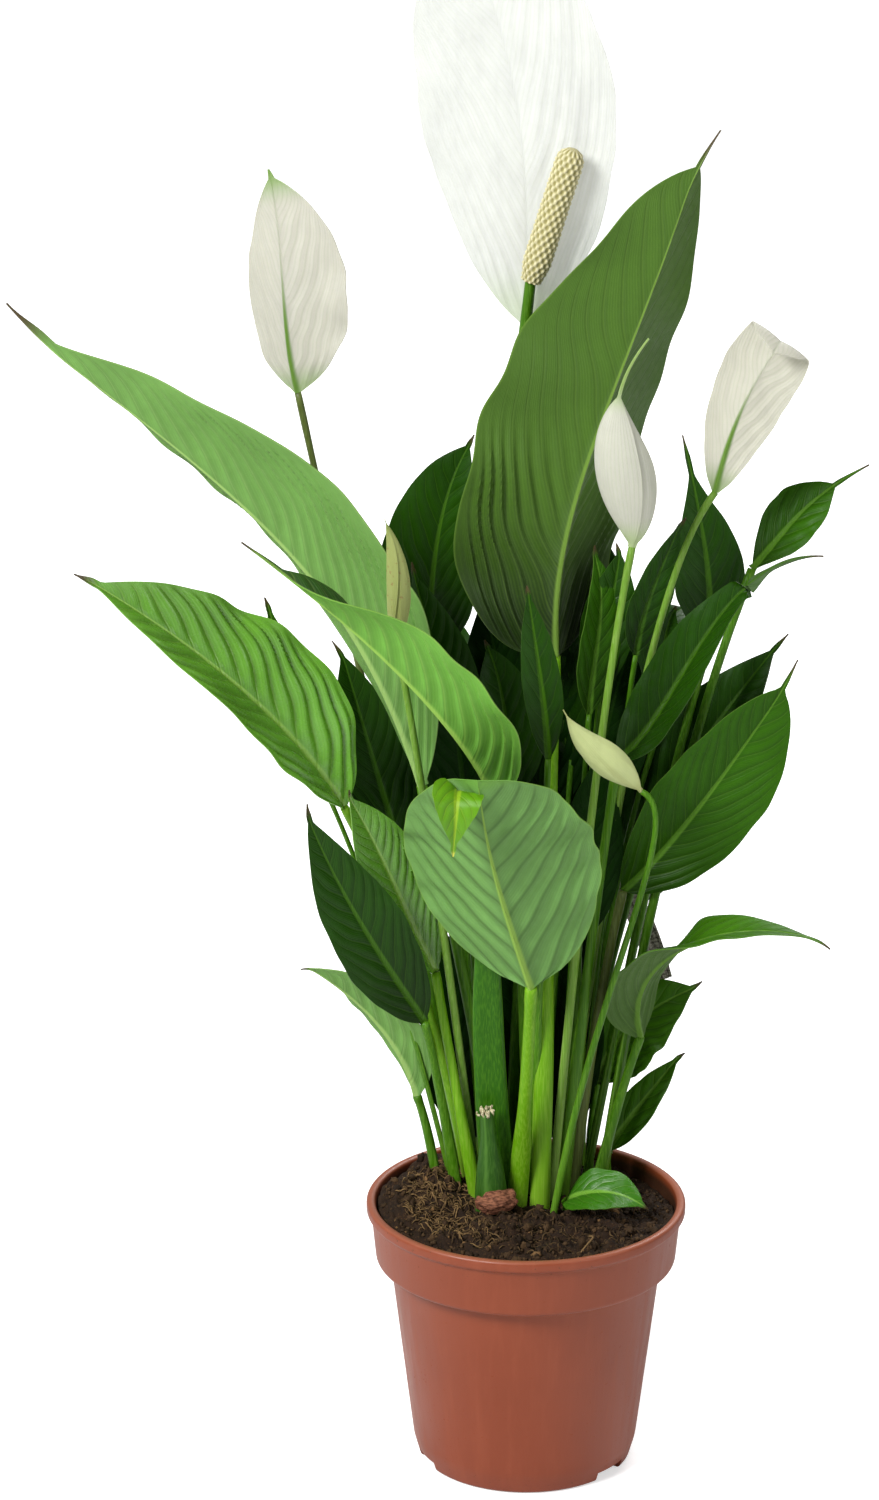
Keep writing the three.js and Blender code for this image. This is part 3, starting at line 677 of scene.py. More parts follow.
def add_spadix(foot, tip, radius, name, material, nodes):
    """A spadix: a blunt rod covered with small florets in crossing spirals."""
    rows, columns = 190, 96
    foot, tip = np.array(foot, float), np.array(tip, float)
    length = np.linalg.norm(tip - foot)
    along = (tip - foot) / length
    v = np.linspace(0, 1, rows)
    ends = np.sqrt(np.clip(1 - np.clip((v * length - length + radius) / radius, 0, 1) ** 2, 0.0004, 1))
    ends *= 0.75 + 0.25 * smooth(v, 0, 0.15)
    angle = np.linspace(0, 2 * np.pi, columns, endpoint=False)
    grid_v, grid_a = np.meshgrid(v, angle, indexing="ij")
    climb = np.pi * grid_v * length / (FLORET_PITCH * radius)
    florets = np.clip(0.5 + 0.5 * np.cos(FLORETS_ROUND * grid_a) * np.cos(climb + 0.25 * grid_a), 0, 1)
    width = radius * ends[:, None] * (0.84 + 0.18 * florets**1.3)
    first = unit(np.cross(along, np.array((0.2, 1, 0.1))))
    second = np.cross(along, first)
    rings = foot + along * (grid_v * length)[..., None]
    rings = rings + first * (width * np.cos(grid_a))[..., None] + second * (width * np.sin(grid_a))[
        ..., None
    ]
    fields = {"floret": florets.ravel()}
    return add_piece(
        name, rings.reshape(-1, 3), loft_faces(
            rows, columns
        ), material, nodes, fields=fields
    )


def add_stipe(foot, tip, material):
    """The short green stalk that carries the top spadix in front of its spathe."""
    t = np.linspace(0, 1, 16)
    middle = (np.array(foot) + np.array(tip)) / 2 - np.array((0, 1.5, 0))
    places, along = quadratic(foot, middle, tip, t)
    rings = tube_rings(places, along, 2.3 - 0.3 * t, STALK_SIDES)
    facing = np.tile(np.cos(np.linspace(0, 2 * np.pi, STALK_SIDES, endpoint=False)), len(t))
    height = np.repeat(0.5 + 0.4 * t, STALK_SIDES)
    fields = {"stalk": np.stack((facing, height, np.zeros(facing.size)), axis=1)}
    faces = loft_faces(len(t), STALK_SIDES)
    return add_piece(
        "stipe_top", rings.reshape(-1, 3), faces, material, fields=fields
    )


# ---- pot and soil ----


def rounded(profile, radius, steps=5):
    """A profile whose corners are blended, apart from its first and last points."""
    points = [profile[0]]
    for before, corner, after in zip(profile, profile[1:], profile[2:]):
        before, corner, after = (np.array(p, float) for p in (before, corner, after))
        reach = min(radius, 0.45 * np.linalg.norm(corner - before), 0.45 * np.linalg.norm(after - corner))
        start = corner + (before - corner) / np.linalg.norm(before - corner) * reach
        end = corner + (after - corner) / np.linalg.norm(after - corner) * reach
        for step in range(steps + 1):
            s = step / steps
            points.append(tuple((1 - s) ** 2 * start + 2 * s * (1 - s) * corner + s * s * end))
    points.append(profile[-1])
    return points


def lathe(profile, sides):
    """Points and faces of a profile turned round the Z axis, with one point at each end on the axis."""
    inner = profile[1:-1]
    angle = np.linspace(0, 2 * np.pi, sides, endpoint=False)
    points = [(0, 0, profile[0][1])]
    for radius, z in inner:
        points += [(radius * math.cos(a), radius * math.sin(a), z) for a in angle]
    points.append((0, 0, profile[-1][1]))
    faces = [f for f in loft_faces(len(inner), sides, 1) if len(f) == 4]
    last = len(points) - 1
    for k in range(sides):
        after = (k + 1) % sides
        faces.append((0, 1 + k, 1 + after))
        faces.append((last, last - sides + k, last - sides + after))
    return points, faces


def box_mesh(centre, size, turn):
    """A box cutter that isn't part of the scene."""
    mesh = bpy.data.meshes.new("cutter")
    work = bmesh.new()
    bmesh.ops.create_cube(work, size=1)
    for vertex in work.verts:
        x, y, z = (vertex.co[i] * size[i] + centre[i] for i in range(3))
        turned_x = x * math.cos(turn) - y * math.sin(turn)
        turned_y = x * math.sin(turn) + y * math.cos(turn)
        vertex.co = Vector((turned_x, turned_y, z)) * MM
    work.to_mesh(mesh)
    work.free()
    return bpy.data.objects.new("cutter", mesh)


def cut_pieces(piece, cutters):
    """Cuts the cutters out of a piece and keeps the result as its mesh."""
    for cutter in cutters:
        bpy.context.scene.collection.objects.link(cutter)
        cut = piece.modifiers.new("notch", "BOOLEAN")
        cut.operation = "DIFFERENCE"
        cut.solver = "EXACT"
        cut.object = cutter
    bpy.context.view_layer.update()
    solved = piece.evaluated_get(bpy.context.evaluated_depsgraph_get())
    piece.data = bpy.data.meshes.new_from_object(solved)
    piece.modifiers.clear()
    for cutter in cutters:
        bpy.data.objects.remove(cutter)


def add_pot(material):
    profile = [
        (0, 1.2),
        (BASE_RADIUS - 4, 1.2),
        (BASE_RADIUS - 3.2, 0),
        (BASE_RADIUS, 0),
        (CHAMFER_RADIUS, CHAMFER_HEIGHT),
        (WALL_TOP_RADIUS, POT_HEIGHT - COLLAR_HEIGHT - STEP_DROP),
        (COLLAR_RADIUS, POT_HEIGHT - COLLAR_HEIGHT),
        (RIM_RADIUS - LIP_STEP, POT_HEIGHT - LIP_HEIGHT),
        (RIM_RADIUS, POT_HEIGHT - LIP_HEIGHT + 1),
        (RIM_RADIUS, POT_HEIGHT),
        (RIM_RADIUS - LIP_STEP - WALL, POT_HEIGHT),
        (COLLAR_RADIUS - WALL, POT_HEIGHT - COLLAR_HEIGHT + WALL),
        (WALL_TOP_RADIUS - WALL, POT_HEIGHT - COLLAR_HEIGHT - STEP_DROP + WALL),
        (BASE_RADIUS - WALL, WALL + 1),
        (0, WALL + 1),
    ]
    points, faces = lathe(rounded(profile, 1.6), POT_SIDES)
    pot = add_piece("pot_shell", points, faces, material, ("pot",))
    cutters = []
    for notch in range(NOTCH_COUNT):
        turn = math.radians(NOTCH_AZIMUTH + notch * 360 / NOTCH_COUNT)
        size = (NOTCH_DEPTH, NOTCH_WIDTH, 2 * NOTCH_HEIGHT)
        cutters.append(box_mesh((BASE_RADIUS, 0, 0), size, turn))
    cut_pieces(pot, cutters)
    pot.data.set_sharp_from_angle(angle=math.radians(40))
    return pot


def rough_height(x, y, seed):
    """Clods and grains of peat, in millimetres."""
    clods = noise.noise(Vector((x / 9, y / 9, seed))) * 3.2
    lumps = noise.noise(Vector((x / 3.6, y / 3.6, seed + 7))) * 2.4
    grains = noise.noise(Vector((x / 1.5, y / 1.5, seed + 19))) * 1.1
    return clods + lumps + grains


def add_soil(material):
    sides, rings = 300, 110
    points = []
    for ring in range(rings):
        radius = SOIL_RADIUS * math.sqrt((ring + 1) / rings) ** 1.2
        edge = smooth(np.array(radius), SOIL_RADIUS - 3, SOIL_RADIUS)
        for k in range(sides):
            angle = 2 * math.pi * k / sides
            x, y = radius * math.cos(angle), radius * math.sin(angle)
            z = heap_height(x, y) + rough_height(x, y, SOIL_SEED) * (1 - 0.6 * edge)
            points.append((x, y, z))
    inset = WALL + 0.6
    step_z = POT_HEIGHT - COLLAR_HEIGHT
    below = (
        (COLLAR_RADIUS - inset, step_z + 3.0),
        (WALL_TOP_RADIUS - inset, step_z - STEP_DROP),
        (BASE_RADIUS - inset, WALL + 1.4),
    )
    for radius, z in below:
        points += [
            (radius * math.cos(2 * math.pi * k / sides), radius * math.sin(2 * math.pi * k / sides), z)
            for k in range(sides)
        ]
    faces = loft_faces(rings + len(below), sides)
    return add_piece("soil_peat", points, faces, material, ("soil",))


def scatter(rng, most):
    """A random place on the soil, inside the radius given."""
    radius = most * math.sqrt(rng.uniform())
    angle = rng.uniform(0, 2 * math.pi)
    return radius * math.cos(angle), radius * math.sin(angle)


def sphere_points(level):
    work = bmesh.new()
    bmesh.ops.create_icosphere(work, subdivisions=level, radius=1)
    points = np.array([v.co for v in work.verts])
    faces = [tuple(v.index for v in f.verts) for f in work.faces]
    work.free()
    return points, faces


def add_crumbs(material, count=1500):
    """Loose crumbs of peat: small lumps of different sizes and tones."""
    rng = random_of("crumbs")
    ball, ball_faces = sphere_points(2)
    points, faces, tones = [], [], []
    for _ in range(count):
        x, y = scatter(rng, SOIL_RADIUS - 2.0)
        size = rng.uniform(0.35, 1.0) if rng.uniform() < 0.9 else rng.uniform(1.0, 1.9)
        scale = size * rng.uniform(0.6, 1.3, 3)
        offset = rng.uniform(-50, 50)
        lumps = [1 + 0.9 * noise.noise(Vector(p * 1.7) + Vector((offset, 0, 0))) for p in ball]
        shape = ball * np.array(lumps)[:, None] * scale
        spin = rng.uniform(0, 2 * math.pi)
        turned = rotate(shape, np.array((0.0, 0.0, 1.0)), spin)
        z = heap_height(x, y) + rough_height(x, y, SOIL_SEED) + 0.25 * size
        faces += [tuple(i + len(ball) * len(points) for i in f) for f in ball_faces]
        points.append(turned + np.array((x, y, z)))
        # Pale crumbs: a few everywhere, and more on the left, where the soil is lit: painted light.
        pale = rng.uniform() < (0.1 if x < -20 else 0.03)
        tones += [rng.uniform(0.75, 1.0) if pale else rng.uniform(0, 0.3)] * len(ball)
    return add_piece(
        "soil_crumbs", np.concatenate(points), faces, material, fields={"tone": np.array(tones)}
    )


def add_fibres(material, count=1100):
    """Peat fibres and fine roots that lie on the soil, more of them on the left heap."""
    rng = random_of("fibres")
    t = np.linspace(0, 1, 9)
    parts, tones = [], []
    for _ in range(count):
        x, y = scatter(rng, FIBRE_REACH)
        if rng.uniform() < 0.5:
            x, y = rng.normal(-30, 10), rng.normal(-2, 18)
        if math.hypot(x, y) > FIBRE_REACH:
            continue
        length = rng.uniform(2, 7)
        heading = rng.uniform(0, 2 * math.pi)
        ahead = np.array((math.cos(heading), math.sin(heading), 0)) * length / 2
        start = np.array((x, y, 0)) - ahead
        end = np.array((x, y, 0)) + ahead
        bend = np.array((x, y, 0)) + rng.normal(0, length * 0.25, 3) * (1, 1, 0)
        places, _ = quadratic(start, bend, end, t)
        reach = np.linalg.norm(places[:, :2], axis=1)
        if reach.max() > SOIL_RADIUS - 2:
            continue
        lift = rng.uniform(0.2, 2.2) * np.sin(np.pi * t) * rng.uniform(0.3, 1)
        ground = [heap_height(p[0], p[1]) + rough_height(p[0], p[1], SOIL_SEED) for p in places]
        places[:, 2] = np.array(ground) * 0.6 + np.mean(ground) * 0.4 + lift + 0.15
        radius = rng.uniform(0.12, 0.32) * (1 - 0.7 * np.abs(2 * t - 1) ** 3)
        parts.append(tube_rings(places, np.gradient(places, axis=0), radius, FIBRE_SIDES))
        # Painted light: fibres on the left, where the soil is lit, get lighter tones than those on the right
        # and the front.
        tones += [rng.uniform(0.2, 1.0) if x < -12 else rng.uniform(0.0, 0.45)] * (len(t) * FIBRE_SIDES)
    points, faces = join_lofts(parts)
    return add_piece("soil_fibres", points, faces, material, fields={"tone": np.array(tones)})


def add_white_root(material):
    t = np.linspace(0, 1, 24)
    start = (*WHITE_ROOT_FOOT, soil_height(*WHITE_ROOT_FOOT) + 1.5)
    end = (*WHITE_ROOT_END, soil_height(*WHITE_ROOT_END) + 0.8)
    places, along = cubic(start, *WHITE_ROOT_BENDS, end, t)
    radius = WHITE_ROOT_RADIUS * (1 - 0.5 * t)
    rings = tube_rings(places, along, radius, WHITE_ROOT_SIDES)
    tones = np.full(len(t) * WHITE_ROOT_SIDES, 1.4)
    points, faces = join_lofts([rings])
    return add_piece("white_root", points, faces, material, fields={"tone": tones})


def add_chip(material):
    ball, faces = sphere_points(5)
    shape = []
    for p in ball:
        grain = 1 + 0.22 * noise.noise(Vector((p[0] * 1.2, p[1] * 2.4, p[2] * 2.4)))
        grain += 0.07 * noise.noise(Vector((p[0] * 4, p[1] * 11, p[2] * 11)))
        shape.append(p * grain * np.array(CHIP_SIZE))
    turned = rotate(np.array(shape), np.array((0.0, 0.0, 1.0)), math.radians(20))
    return add_piece("bark_lump", turned + np.array(CHIP_CENTRE), faces, material, ("bark_chip",))


def add_stub(material, torn_material):
    """The stub of a cut stalk in its sheath, with torn pale fibres at its end."""
    rows, sides = 40, 20
    t = np.linspace(0, 1, rows)
    foot = (*STUB_FOOT, soil_height(*STUB_FOOT) - ROOT_DEPTH)
    knee = (*STUB_FOOT, STUB_KNEE_HEIGHT)
    places, along = quadratic(foot, knee, STUB_TIP, t)
    radius = STUB_RADIUS * (1.8 - 1.0 * smooth(t, 0.25, 0.95))
    rings = tube_rings(places, along, radius, sides)
    angle = np.linspace(0, 2 * np.pi, sides, endpoint=False)
    rings[-3:, :, 2] += np.array((0.3, 0.8, 1.4))[:, None] * np.sin(angle * 3 + 1)[None, :]
    facing = np.tile(np.cos(angle), rows)
    fields = {"stalk": np.stack((facing, np.repeat(t, sides), np.ones(rows * sides)), axis=1)}
    faces = loft_faces(rows, sides)
    points = rings.reshape(-1, 3)
    add_piece("stub_sheath", points, faces, material, ("cut_stub",), fields=fields)
    rng = random_of("torn")
    parts = []
    step = np.linspace(0, 1, 7)
    for _ in range(TORN_FIBRES):
        heading = rng.uniform(0, 2 * math.pi)
        out = np.array((math.cos(heading), math.sin(heading), 0))
        base = np.array(STUB_TIP) + out * rng.uniform(0, 2.2) - np.array((0, 0, 1.0))
        tip = base + out * rng.uniform(0.4, 2.4) + np.array((0, 0, rng.uniform(1.2, 3.6)))
        path, heads = quadratic(base, (base + tip) / 2 + rng.normal(0, 0.7, 3), tip, step)
        parts.append(tube_rings(path, heads, rng.uniform(0.45, 0.95) * (1 - 0.6 * step), 6))
    points, faces = join_lofts(parts)
    add_piece("stub_torn_end", points, faces, torn_material)


def add_dry_strip(material):
    """A dry grey-brown leaf base that hangs behind the right-hand stalks."""
    t = np.linspace(0, 1, 40)
    places, along = quadratic(*DRY_STRIP, t)
    across = unit(np.cross(along, np.array((0.2, -1, 0.1))))
    up = np.cross(across, along)
    u = np.linspace(-1, 1, 13)
    width = DRY_STRIP_HALF * (0.55 + 0.45 * np.sin(np.pi * (0.15 + 0.75 * t)))
    lift = 1.5 * np.abs(u)[None, :] + 0.5 * np.sin(9 * t[:, None] + 5 * u[None, :])
    lift = lift + 0.35 * np.cos(u[None, :] * 14)
    middle = places[:, None, :] + across[:, None, :] * (width[:, None] * u[None, :])[..., None]
    rings = np.concatenate(
        (middle + up[:, None, :] * (lift + 0.25)[..., None],
         (middle + up[:, None, :] * (lift - 0.25)[..., None])[:, ::-1]),
        axis=1,
    )
    points, faces = join_lofts([rings])
    add_piece("dry_leaf_base", points, faces, material, sharp=50)


# ---- materials ----


class Surface:
    """A node material, with short calls for the nodes that the plant's surfaces use."""

    def __init__(self, name, **fixed):
        self.material = bpy.data.materials.new(name)
        self.material.use_nodes = True
        self.tree = self.material.node_tree
        self.shader = self.tree.nodes["Principled BSDF"]
        for socket, value in fixed.items():
            self.shader.inputs[socket.replace("_", " ")].default_value = value

    def put(self, value, socket):
        if isinstance(value, bpy.types.NodeSocket):
            self.tree.links.new(value, socket)
        elif isinstance(value, tuple) and len(value) == 3 and socket.type == "RGBA":
            socket.default_value = (*value, 1)
        else:
            socket.default_value = value

    def attribute(self, name, output="Vector"):
        node = self.tree.nodes.new("ShaderNodeAttribute")
        node.attribute_name = name
        return node.outputs[output]

    def split(self, vector):
        node = self.tree.nodes.new("ShaderNodeSeparateXYZ")
        self.put(vector, node.inputs[0])
        return node.outputs

    def place(self, stretch=(1, 1, 1)):
        """The place on the object in millimetres, stretched for grain along an axis."""
        node = self.tree.nodes.new("ShaderNodeTexCoord")
        mapping = self.tree.nodes.new("ShaderNodeMapping")
        mapping.inputs["Scale"].default_value = [s / MM for s in stretch]
        self.tree.links.new(node.outputs["Object"], mapping.inputs["Vector"])
        return mapping.outputs[0]

    def calc(self, operation, a, b=0.0, c=0.0, clamp=False):
        node = self.tree.nodes.new("ShaderNodeMath")
        node.operation = operation
        node.use_clamp = clamp
        for value, socket in zip((a, b, c), node.inputs):
            self.put(value, socket)
        return node.outputs[0]

    def from_axis(self, x, y):
        """The distance from the upright axis through the origin."""
        return self.calc("POWER", self.calc("MULTIPLY_ADD", x, x, self.calc("MULTIPLY", y, y)), 0.5)

    def band(self, value, low, high, to_low=0.0, to_high=1.0):
        node = self.tree.nodes.new("ShaderNodeMapRange")
        node.interpolation_type = "SMOOTHSTEP"
        for item, key in zip((value, low, high, to_low, to_high), node.inputs):
            self.put(item, key)
        return node.outputs[0]

    def noise(self, size, detail=3.0, stretch=(1, 1, 1), rough=0.55):
        """Noise from 0 to 1 whose lumps are about this many millimetres wide."""
        node = self.tree.nodes.new("ShaderNodeTexNoise")
        node.inputs["Scale"].default_value = 1 / size
        node.inputs["Detail"].default_value = detail
        node.inputs["Roughness"].default_value = rough
        self.tree.links.new(self.place(stretch), node.inputs["Vector"])
        return node.outputs["Fac"]

    def cells(self, size, output="Distance"):
        node = self.tree.nodes.new("ShaderNodeTexVoronoi")
        node.inputs["Scale"].default_value = 1 / size
        self.tree.links.new(self.place(), node.inputs["Vector"])
        return node.outputs[output]

    def mix(self, share, a, b, blend="MIX"):
        node = self.tree.nodes.new("ShaderNodeMix")
        node.data_type = "RGBA"
        node.blend_type = blend
        self.put(share, node.inputs["Factor"])
        self.put(a, node.inputs[6])
        self.put(b, node.inputs[7])
        return node.outputs[2]

    def finish(self, colour, roughness, height, depth):
        """Joins colour, roughness and a bump whose full height is the depth, in millimetres."""
        self.put(colour, self.shader.inputs["Base Color"])
        self.put(roughness, self.shader.inputs["Roughness"])
        node = self.tree.nodes.new("ShaderNodeBump")
        node.inputs["Strength"].default_value = 1
        node.inputs["Distance"].default_value = depth * MM
        self.put(height, node.inputs["Height"])
        self.tree.links.new(node.outputs[0], self.shader.inputs["Normal"])
        return self.material


def shade(colour, share):
    return tuple(channel * share for channel in colour)


BROWN_TIP = (0.07, 0.05, 0.02)


def leaf_surface(
    name, upper, under, vein, gloss, pale_vein=0.2, groove=0.5, specular=0.3, foot=0.55, shaded_foot_end=0.55,
    line=None, tip=BROWN_TIP,
):
    """A leaf: glossy above, greyer below, with a pale midrib, sunken side veins with painted shade in their
    grooves and along the midrib, painted shade towards the neck and a brown tip.
    """
    surface = Surface(
        name, Subsurface_Weight=0.08, Subsurface_Radius=(0.7, 1.0, 0.15), Subsurface_Scale=0.5 * MM,
        Specular_IOR_Level=specular,
    )
    lateral, along, is_upper = surface.split(surface.attribute("blade"))
    phase, share, _ = surface.split(surface.attribute("veins"))
    rib_width = surface.band(along, 0.0, 1.0, 1.7, 0.35)
    distance = surface.calc("ABSOLUTE", lateral)
    midrib = surface.band(surface.calc("DIVIDE", distance, rib_width), 0.5, 1.0, 1.0, 0.0)
    midrib_crease_shade = surface.band(surface.calc("DIVIDE", distance, rib_width), 1.0, 3.2, 0.5, 0.0)
    away = surface.band(share, 0.7, 1.0, 1.0, 0.2)
    from_vein = surface.calc("PINGPONG", phase, 0.5)
    main = surface.calc("MULTIPLY", surface.band(from_vein, 0.0, 0.1, 1.0, 0.0), away)
    dip = surface.calc("MULTIPLY", surface.band(from_vein, 0.0, 0.34, 1.0, 0.0), away)
    fine = surface.band(
        surface.calc("PINGPONG", surface.calc("MULTIPLY", phase, 7.0), 0.5), 0.0, 0.42, 1.0, 0.0
    )
    patch = surface.noise(24, 3)
    mottle = surface.noise(3.2, 4)
    top = surface.mix(patch, shade(upper, 0.65), shade(upper, 1.35))
    low = surface.mix(patch, shade(under, 0.78), shade(under, 1.22))
    colour = surface.mix(is_upper, low, top)
    # The darker colour below serves the random mottling and the painted shade in the vein grooves and next to
    # the midrib.
    dark = surface.mix(0.55, colour, (0.0, 0.01, 0.0))
    colour = surface.mix(surface.calc("MULTIPLY", mottle, 0.25), colour, dark)
    # Painted shade: the grooves of the side veins and the crease next to the midrib are darkened, as strong
    # as groove says.
    colour = surface.mix(surface.calc("MULTIPLY", dip, groove), colour, dark)
    colour = surface.mix(surface.calc("MULTIPLY", midrib_crease_shade, groove), colour, dark)
    # Painted shade: the blade darkens towards its neck, where the leaves above shade it; foot sets how much.
    colour = surface.mix(surface.band(along, 0.05, shaded_foot_end, foot, 0.0), colour, shade(upper, 0.15))
    colour = surface.mix(surface.calc("MULTIPLY", fine, 0.07), colour, vein)
    # A dark line colour paints shade into the sunken veins; by default the vein lines are pale.
    colour = surface.mix(surface.calc("MULTIPLY", main, pale_vein), colour, line or vein)
    colour = surface.mix(surface.calc("MULTIPLY", midrib, 0.7), colour, vein)
    rim = surface.band(share, 0.98, 1.0, 0.0, 0.3)
    colour = surface.mix(rim, colour, vein)
    colour = surface.mix(surface.band(along, 0.93, 0.985), colour, tip)
    rough = surface.band(mottle, 0.25, 0.75, gloss - 0.05, gloss + 0.08)
    rough = surface.calc("MULTIPLY_ADD", surface.calc("SUBTRACT", 1.0, is_upper), 0.2, rough)
    height = surface.calc("MULTIPLY_ADD", main, -0.6, surface.calc("MULTIPLY", fine, 0.2))
    height = surface.calc("MULTIPLY_ADD", surface.cells(0.7), 0.12, height)
    return surface.finish(colour, rough, height, 0.18)


def spathe_surface(name, body, tint, midrib_tint, spots=0.0, glow=0.12, streak=0.25, tip_from=0.84):
    """A thin white spathe: faint long veins, green at the neck, the midrib and the tip, long grey bands of
    painted shade in its folds, and a painted glow.
    """
    surface = Surface(
        name, Subsurface_Weight=0.35, Subsurface_Radius=(1.0, 1.0, 0.75), Subsurface_Scale=1.2 * MM,
        Specular_IOR_Level=0.3,
    )
    lateral, along, _ = surface.split(surface.attribute("blade"))
    phase = surface.split(surface.attribute("veins"))[0]
    fine = surface.band(
        surface.calc("PINGPONG", surface.calc("MULTIPLY", phase, 3.0), 0.5), 0.0, 0.3, 1.0, 0.0
    )
    mottle = surface.noise(7, 4)
    colour = surface.mix(mottle, shade(body, 0.88), body)
    colour = surface.mix(surface.calc("MULTIPLY", fine, 0.1), colour, tint)
    # Painted shade: long grey bands along the spathe stand for the shade in its folds.
    long_patch = surface.noise(9, 4, (1, 1, 0.22))
    colour = surface.mix(surface.band(long_patch, 0.42, 0.72, 0.0, streak), colour, shade(body, 0.6))
    neck = surface.band(along, 0.0, 0.16, 0.6, 0.0)
    colour = surface.mix(neck, colour, tint)
    tip = surface.band(along, tip_from, tip_from + 0.16, 0.0, 0.9)
    colour = surface.mix(tip, colour, tint)
    width = surface.band(along, 0.0, 0.7, 1.7, 0.5)
    rib = surface.band(
        surface.calc("DIVIDE", surface.calc("ABSOLUTE", lateral), width), 0.3, 1.1, midrib_tint, 0.0
    )
    rib = surface.calc("MULTIPLY", rib, surface.band(along, 0.3, 0.7, 1.0, 0.15))
    colour = surface.mix(rib, colour, shade(tint, 0.8))
    if spots:
        spot = surface.band(surface.noise(1.6, 2), 0.6, 0.72, 0.0, spots)
        colour = surface.mix(spot, colour, (0.24, 0.12, 0.04))
    rough = surface.band(mottle, 0.2, 0.8, 0.42, 0.6)
    height = surface.calc("MULTIPLY_ADD", fine, 0.4, surface.noise(2.2, 2))
    # Painted light: the spathe glows with its own colour, as if lit through, though it is no lamp.
    surface.put(colour, surface.shader.inputs["Emission Color"])
    surface.shader.inputs["Emission Strength"].default_value = glow
    return surface.finish(colour, rough, height, 0.12)


def stalk_surface(name, body, pale, streaks=0.3):
    """A stalk: fine lines along it, a paler foot and a lighter edge on each side of the channel."""
    surface = Surface(
        name, Subsurface_Weight=0.15, Subsurface_Radius=(0.7, 1.0, 0.1), Subsurface_Scale=1.0 * MM,
        Specular_IOR_Level=0.2,
    )
    facing, height, sheath = surface.split(surface.attribute("stalk"))
    grain = surface.noise(0.5, 2, (1, 1, 0.006))
    patch = surface.noise(14, 2, (1, 1, 0.3))
    colour = surface.mix(patch, shade(body, 0.72), shade(body, 1.25))
    colour = surface.mix(surface.band(grain, 0.4, 0.7, 0.0, streaks), colour, pale)
    edge = surface.band(surface.calc("ABSOLUTE", facing), 0.0, 0.28, 0.55, 0.0)
    colour = surface.mix(surface.calc("MULTIPLY", edge, sheath), colour, pale)
    foot = surface.band(height, 0.04, 0.2, 0.3, 0.0)
    colour = surface.mix(foot, colour, shade(pale, 0.9))
    rough = surface.band(grain, 0.3, 0.7, 0.36, 0.5)
    return surface.finish(colour, rough, grain, 0.1)


def spadix_surface():
    surface = Surface(
        "spadix_skin", Subsurface_Weight=0.2, Subsurface_Radius=(1.0, 0.9, 0.5), Subsurface_Scale=MM
    )
    floret = surface.attribute("floret", "Fac")
    grain = surface.noise(0.8, 3)
    raised = surface.band(floret, 0.15, 0.85)
    # Painted shade: the hollows between the raised florets are darker.
    colour = surface.mix(raised, (0.26, 0.23, 0.07), (0.66, 0.61, 0.38))
    colour = surface.mix(surface.calc("MULTIPLY", grain, 0.2), colour, (0.5, 0.48, 0.2))
    return surface.finish(colour, surface.band(grain, 0.3, 0.7, 0.55, 0.75), grain, 0.15)


def pot_surface():
    """Moulded terracotta-coloured plastic: flow lines, rough dirt specks near the rim and foot, painted shade
    and dirt inside, a painted highlight on the rim.
    """
    surface = Surface("pot_plastic", Specular_IOR_Level=0.4)
    cloud = surface.noise(38, 3)
    flow = surface.noise(5, 3, (1, 1, 0.08))
    grain = surface.noise(0.5, 2)
    colour = surface.mix(cloud, (0.2, 0.037, 0.011), (0.26, 0.053, 0.018))
    colour = surface.mix(surface.band(flow, 0.45, 0.75, 0.0, 0.18), colour, (0.35, 0.088, 0.038))
    x, y, z = surface.split(surface.place())
    near_rim = surface.band(z, POT_HEIGHT - 14, POT_HEIGHT - 2, 0.0, 1.0)
    near_foot = surface.band(z, 1.0, 9.0, 1.0, 0.0)
    dirty = surface.calc("MAXIMUM", near_rim, near_foot)
    speck = surface.band(surface.noise(1.1, 3), 0.66, 0.72)
    colour = surface.mix(surface.calc("MULTIPLY", speck, surface.calc("MULTIPLY", dirty, 0.75)), colour,
                         (0.07, 0.035, 0.018))
    radius = surface.from_axis(x, y)
    collar_foot = POT_HEIGHT - COLLAR_HEIGHT
    slope = (RIM_RADIUS - LIP_STEP - COLLAR_RADIUS) / (COLLAR_HEIGHT - LIP_HEIGHT)
    middle_of_wall = surface.calc("MULTIPLY_ADD", z, slope, COLLAR_RADIUS - WALL / 2 - slope * collar_foot)
    # Painted shade and dirt: the inner wall above the soil is darkened, less so near the rim.
    inside = surface.calc("LESS_THAN", radius, middle_of_wall)
    inside = surface.calc("MULTIPLY", inside, surface.band(z, collar_foot + 3, collar_foot + 4))
    inside = surface.calc("MULTIPLY", inside, surface.band(z, POT_HEIGHT - 4, POT_HEIGHT - 0.6, 0.93, 0.2))
    colour = surface.mix(inside, colour, (0.03, 0.014, 0.007))
    # Painted highlight: a paler band along the top edge of the rim.
    rim_highlight = surface.band(z, POT_HEIGHT - 1.0, POT_HEIGHT - 0.1, 0.0, 0.35)
    colour = surface.mix(rim_highlight, colour, (0.46, 0.18, 0.11))
    rough = surface.band(flow, 0.3, 0.7, 0.34, 0.46)
    rough = surface.calc("MULTIPLY_ADD", speck, 0.3, rough)
    height = surface.calc("MULTIPLY_ADD", grain, 0.5, flow)
    return surface.finish(colour, rough, height, 0.05)


